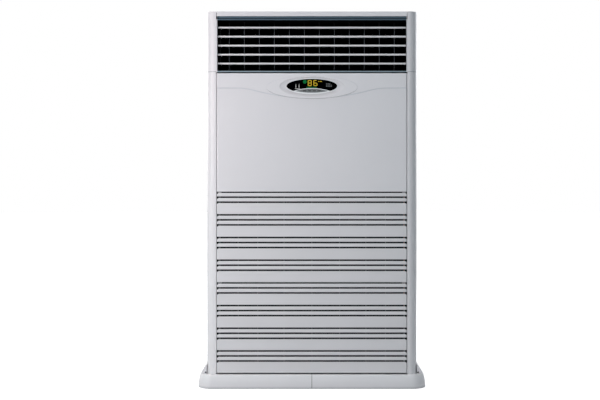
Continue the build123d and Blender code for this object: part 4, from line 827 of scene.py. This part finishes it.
for colour, outlines in figures.items():
    guide = lightGuide(f"litMark{colour.capitalize()}", *markGlow[colour])
    newPiece(f"lit{colour.capitalize()}Marks", lambda shape: litMarks(shape, outlines), guide)
print("display marks made")

# screws: pan heads with a cross recess in place of the plain discs, found at the CAD screws' own places
screw = {"radius": 0.004, "high": 0.002, "grid": 14, "round": 0.92, "armLong": 0.62, "armWide": 0.17,
         "recess": 0.0011, "shankRadius": 0.002, "shankLong": 0.006, "sides": 12, "seatGap": 0.00001,
         "weld": 1e-5, "sideReach": 0.006, "baseHigh": 0.1}


def islands(mesh):   # the points of each separate solid in a mesh
    shape = bmesh.new()
    shape.from_mesh(mesh)
    bmesh.ops.remove_doubles(shape, verts=shape.verts, dist=screw["weld"])
    left = set(shape.verts)
    found = []
    while left:
        queue = [left.pop()]
        points = []
        while queue:
            vert = queue.pop()
            points.append(vert.co.copy())
            for edge in vert.link_edges:
                other = edge.other_vert(vert)
                if other in left:
                    left.discard(other)
                    queue.append(other)
        found.append(points)
    shape.free()
    return found


def screwPlace(points):   # seat on the sheet, and the way the head faces
    low = Vector([min(p[i] for p in points) for i in range(3)])
    high = Vector([max(p[i] for p in points) for i in range(3)])
    middle = (low + high) / 2
    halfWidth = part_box("side_panel_right")[1][0]
    if abs(middle.x) > halfWidth - screw["sideReach"] and middle.z > screw["baseHigh"]:
        side = math.copysign(1, middle.x)
        return Vector((side * halfWidth, middle.y, middle.z)), Vector((side, 0, 0))
    if middle.y > 0:
        return Vector((middle.x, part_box("back_panel")[1][1], middle.z)), Vector((0, 1, 0))
    return Vector((middle.x, low.y + screw["high"], middle.z)), Vector((0, -1, 0))


def addScrew(shape, seat, outward):
    turn = outward.to_track_quat("Z", "Y").to_matrix()
    count = screw["grid"]
    wide, long = screw["armWide"], screw["armLong"]
    rows = []
    for i in range(count + 1):
        row = []
        for j in range(count + 1):
            u = 2 * i / count - 1
            v = 2 * j / count - 1
            x = u * math.sqrt(1 - v * v / 2)   # square grid drawn out to a disc
            y = v * math.sqrt(1 - u * u / 2)
            z = screw["high"] * math.sqrt(max(0.0, 1 - screw["round"] * (x * x + y * y)))
            if (abs(u) < wide and abs(v) < long) or (abs(v) < wide and abs(u) < long):
                z -= screw["recess"]
            row.append(shape.verts.new(seat + turn @ Vector((x * screw["radius"], y * screw["radius"], z))))
        rows.append(row)
    for i in range(count):
        for j in range(count):
            shape.faces.new((rows[i][j], rows[i + 1][j], rows[i + 1][j + 1], rows[i][j + 1]))
    border = [rows[i][0] for i in range(count)] + [rows[count][j] for j in range(count)]
    border += [rows[i][count] for i in range(count, 0, -1)] + [rows[0][j] for j in range(count, 0, -1)]
    base = [shape.verts.new(seat + turn @ Vector((*(turn.transposed() @ (vert.co - seat)).xy, 0)))
            for vert in border]
    for k in range(len(border)):
        n = (k + 1) % len(border)
        shape.faces.new((border[n], border[k], base[k], base[n]))
    shape.faces.new(list(reversed(base)))
    sides = screw["sides"]
    circle = [(screw["shankRadius"] * math.cos(math.tau * k / sides),
               screw["shankRadius"] * math.sin(math.tau * k / sides)) for k in range(sides)]
    top, tip = [[shape.verts.new(seat + turn @ Vector((x, y, z))) for x, y in circle]
                for z in (-screw["seatGap"], -screw["shankLong"])]
    shape.faces.new(top)
    shape.faces.new(list(reversed(tip)))
    for k in range(sides):
        n = (k + 1) % sides
        shape.faces.new((top[k], tip[k], tip[n], top[n]))


def screwSet(shape, places):
    for seat, outward in places:
        addScrew(shape, seat, outward)


screwPlaces = [screwPlace(points) for points in islands(nodes["casing_screws"].data)]
panelOnes = [place for place in screwPlaces if place[1].y >= 0]
cheekOnes = [place for place in screwPlaces if place[1].y < 0]
panelScrews = newPiece("panelScrews", lambda shape: screwSet(shape, panelOnes), screwZinc)
newPiece("cheekScrews", lambda shape: screwSet(shape, cheekOnes), metalSurface("blackOxideSteel", blackOxide))
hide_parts("casing_screws")
print("screws made:", len(panelOnes), "and", len(cheekOnes))
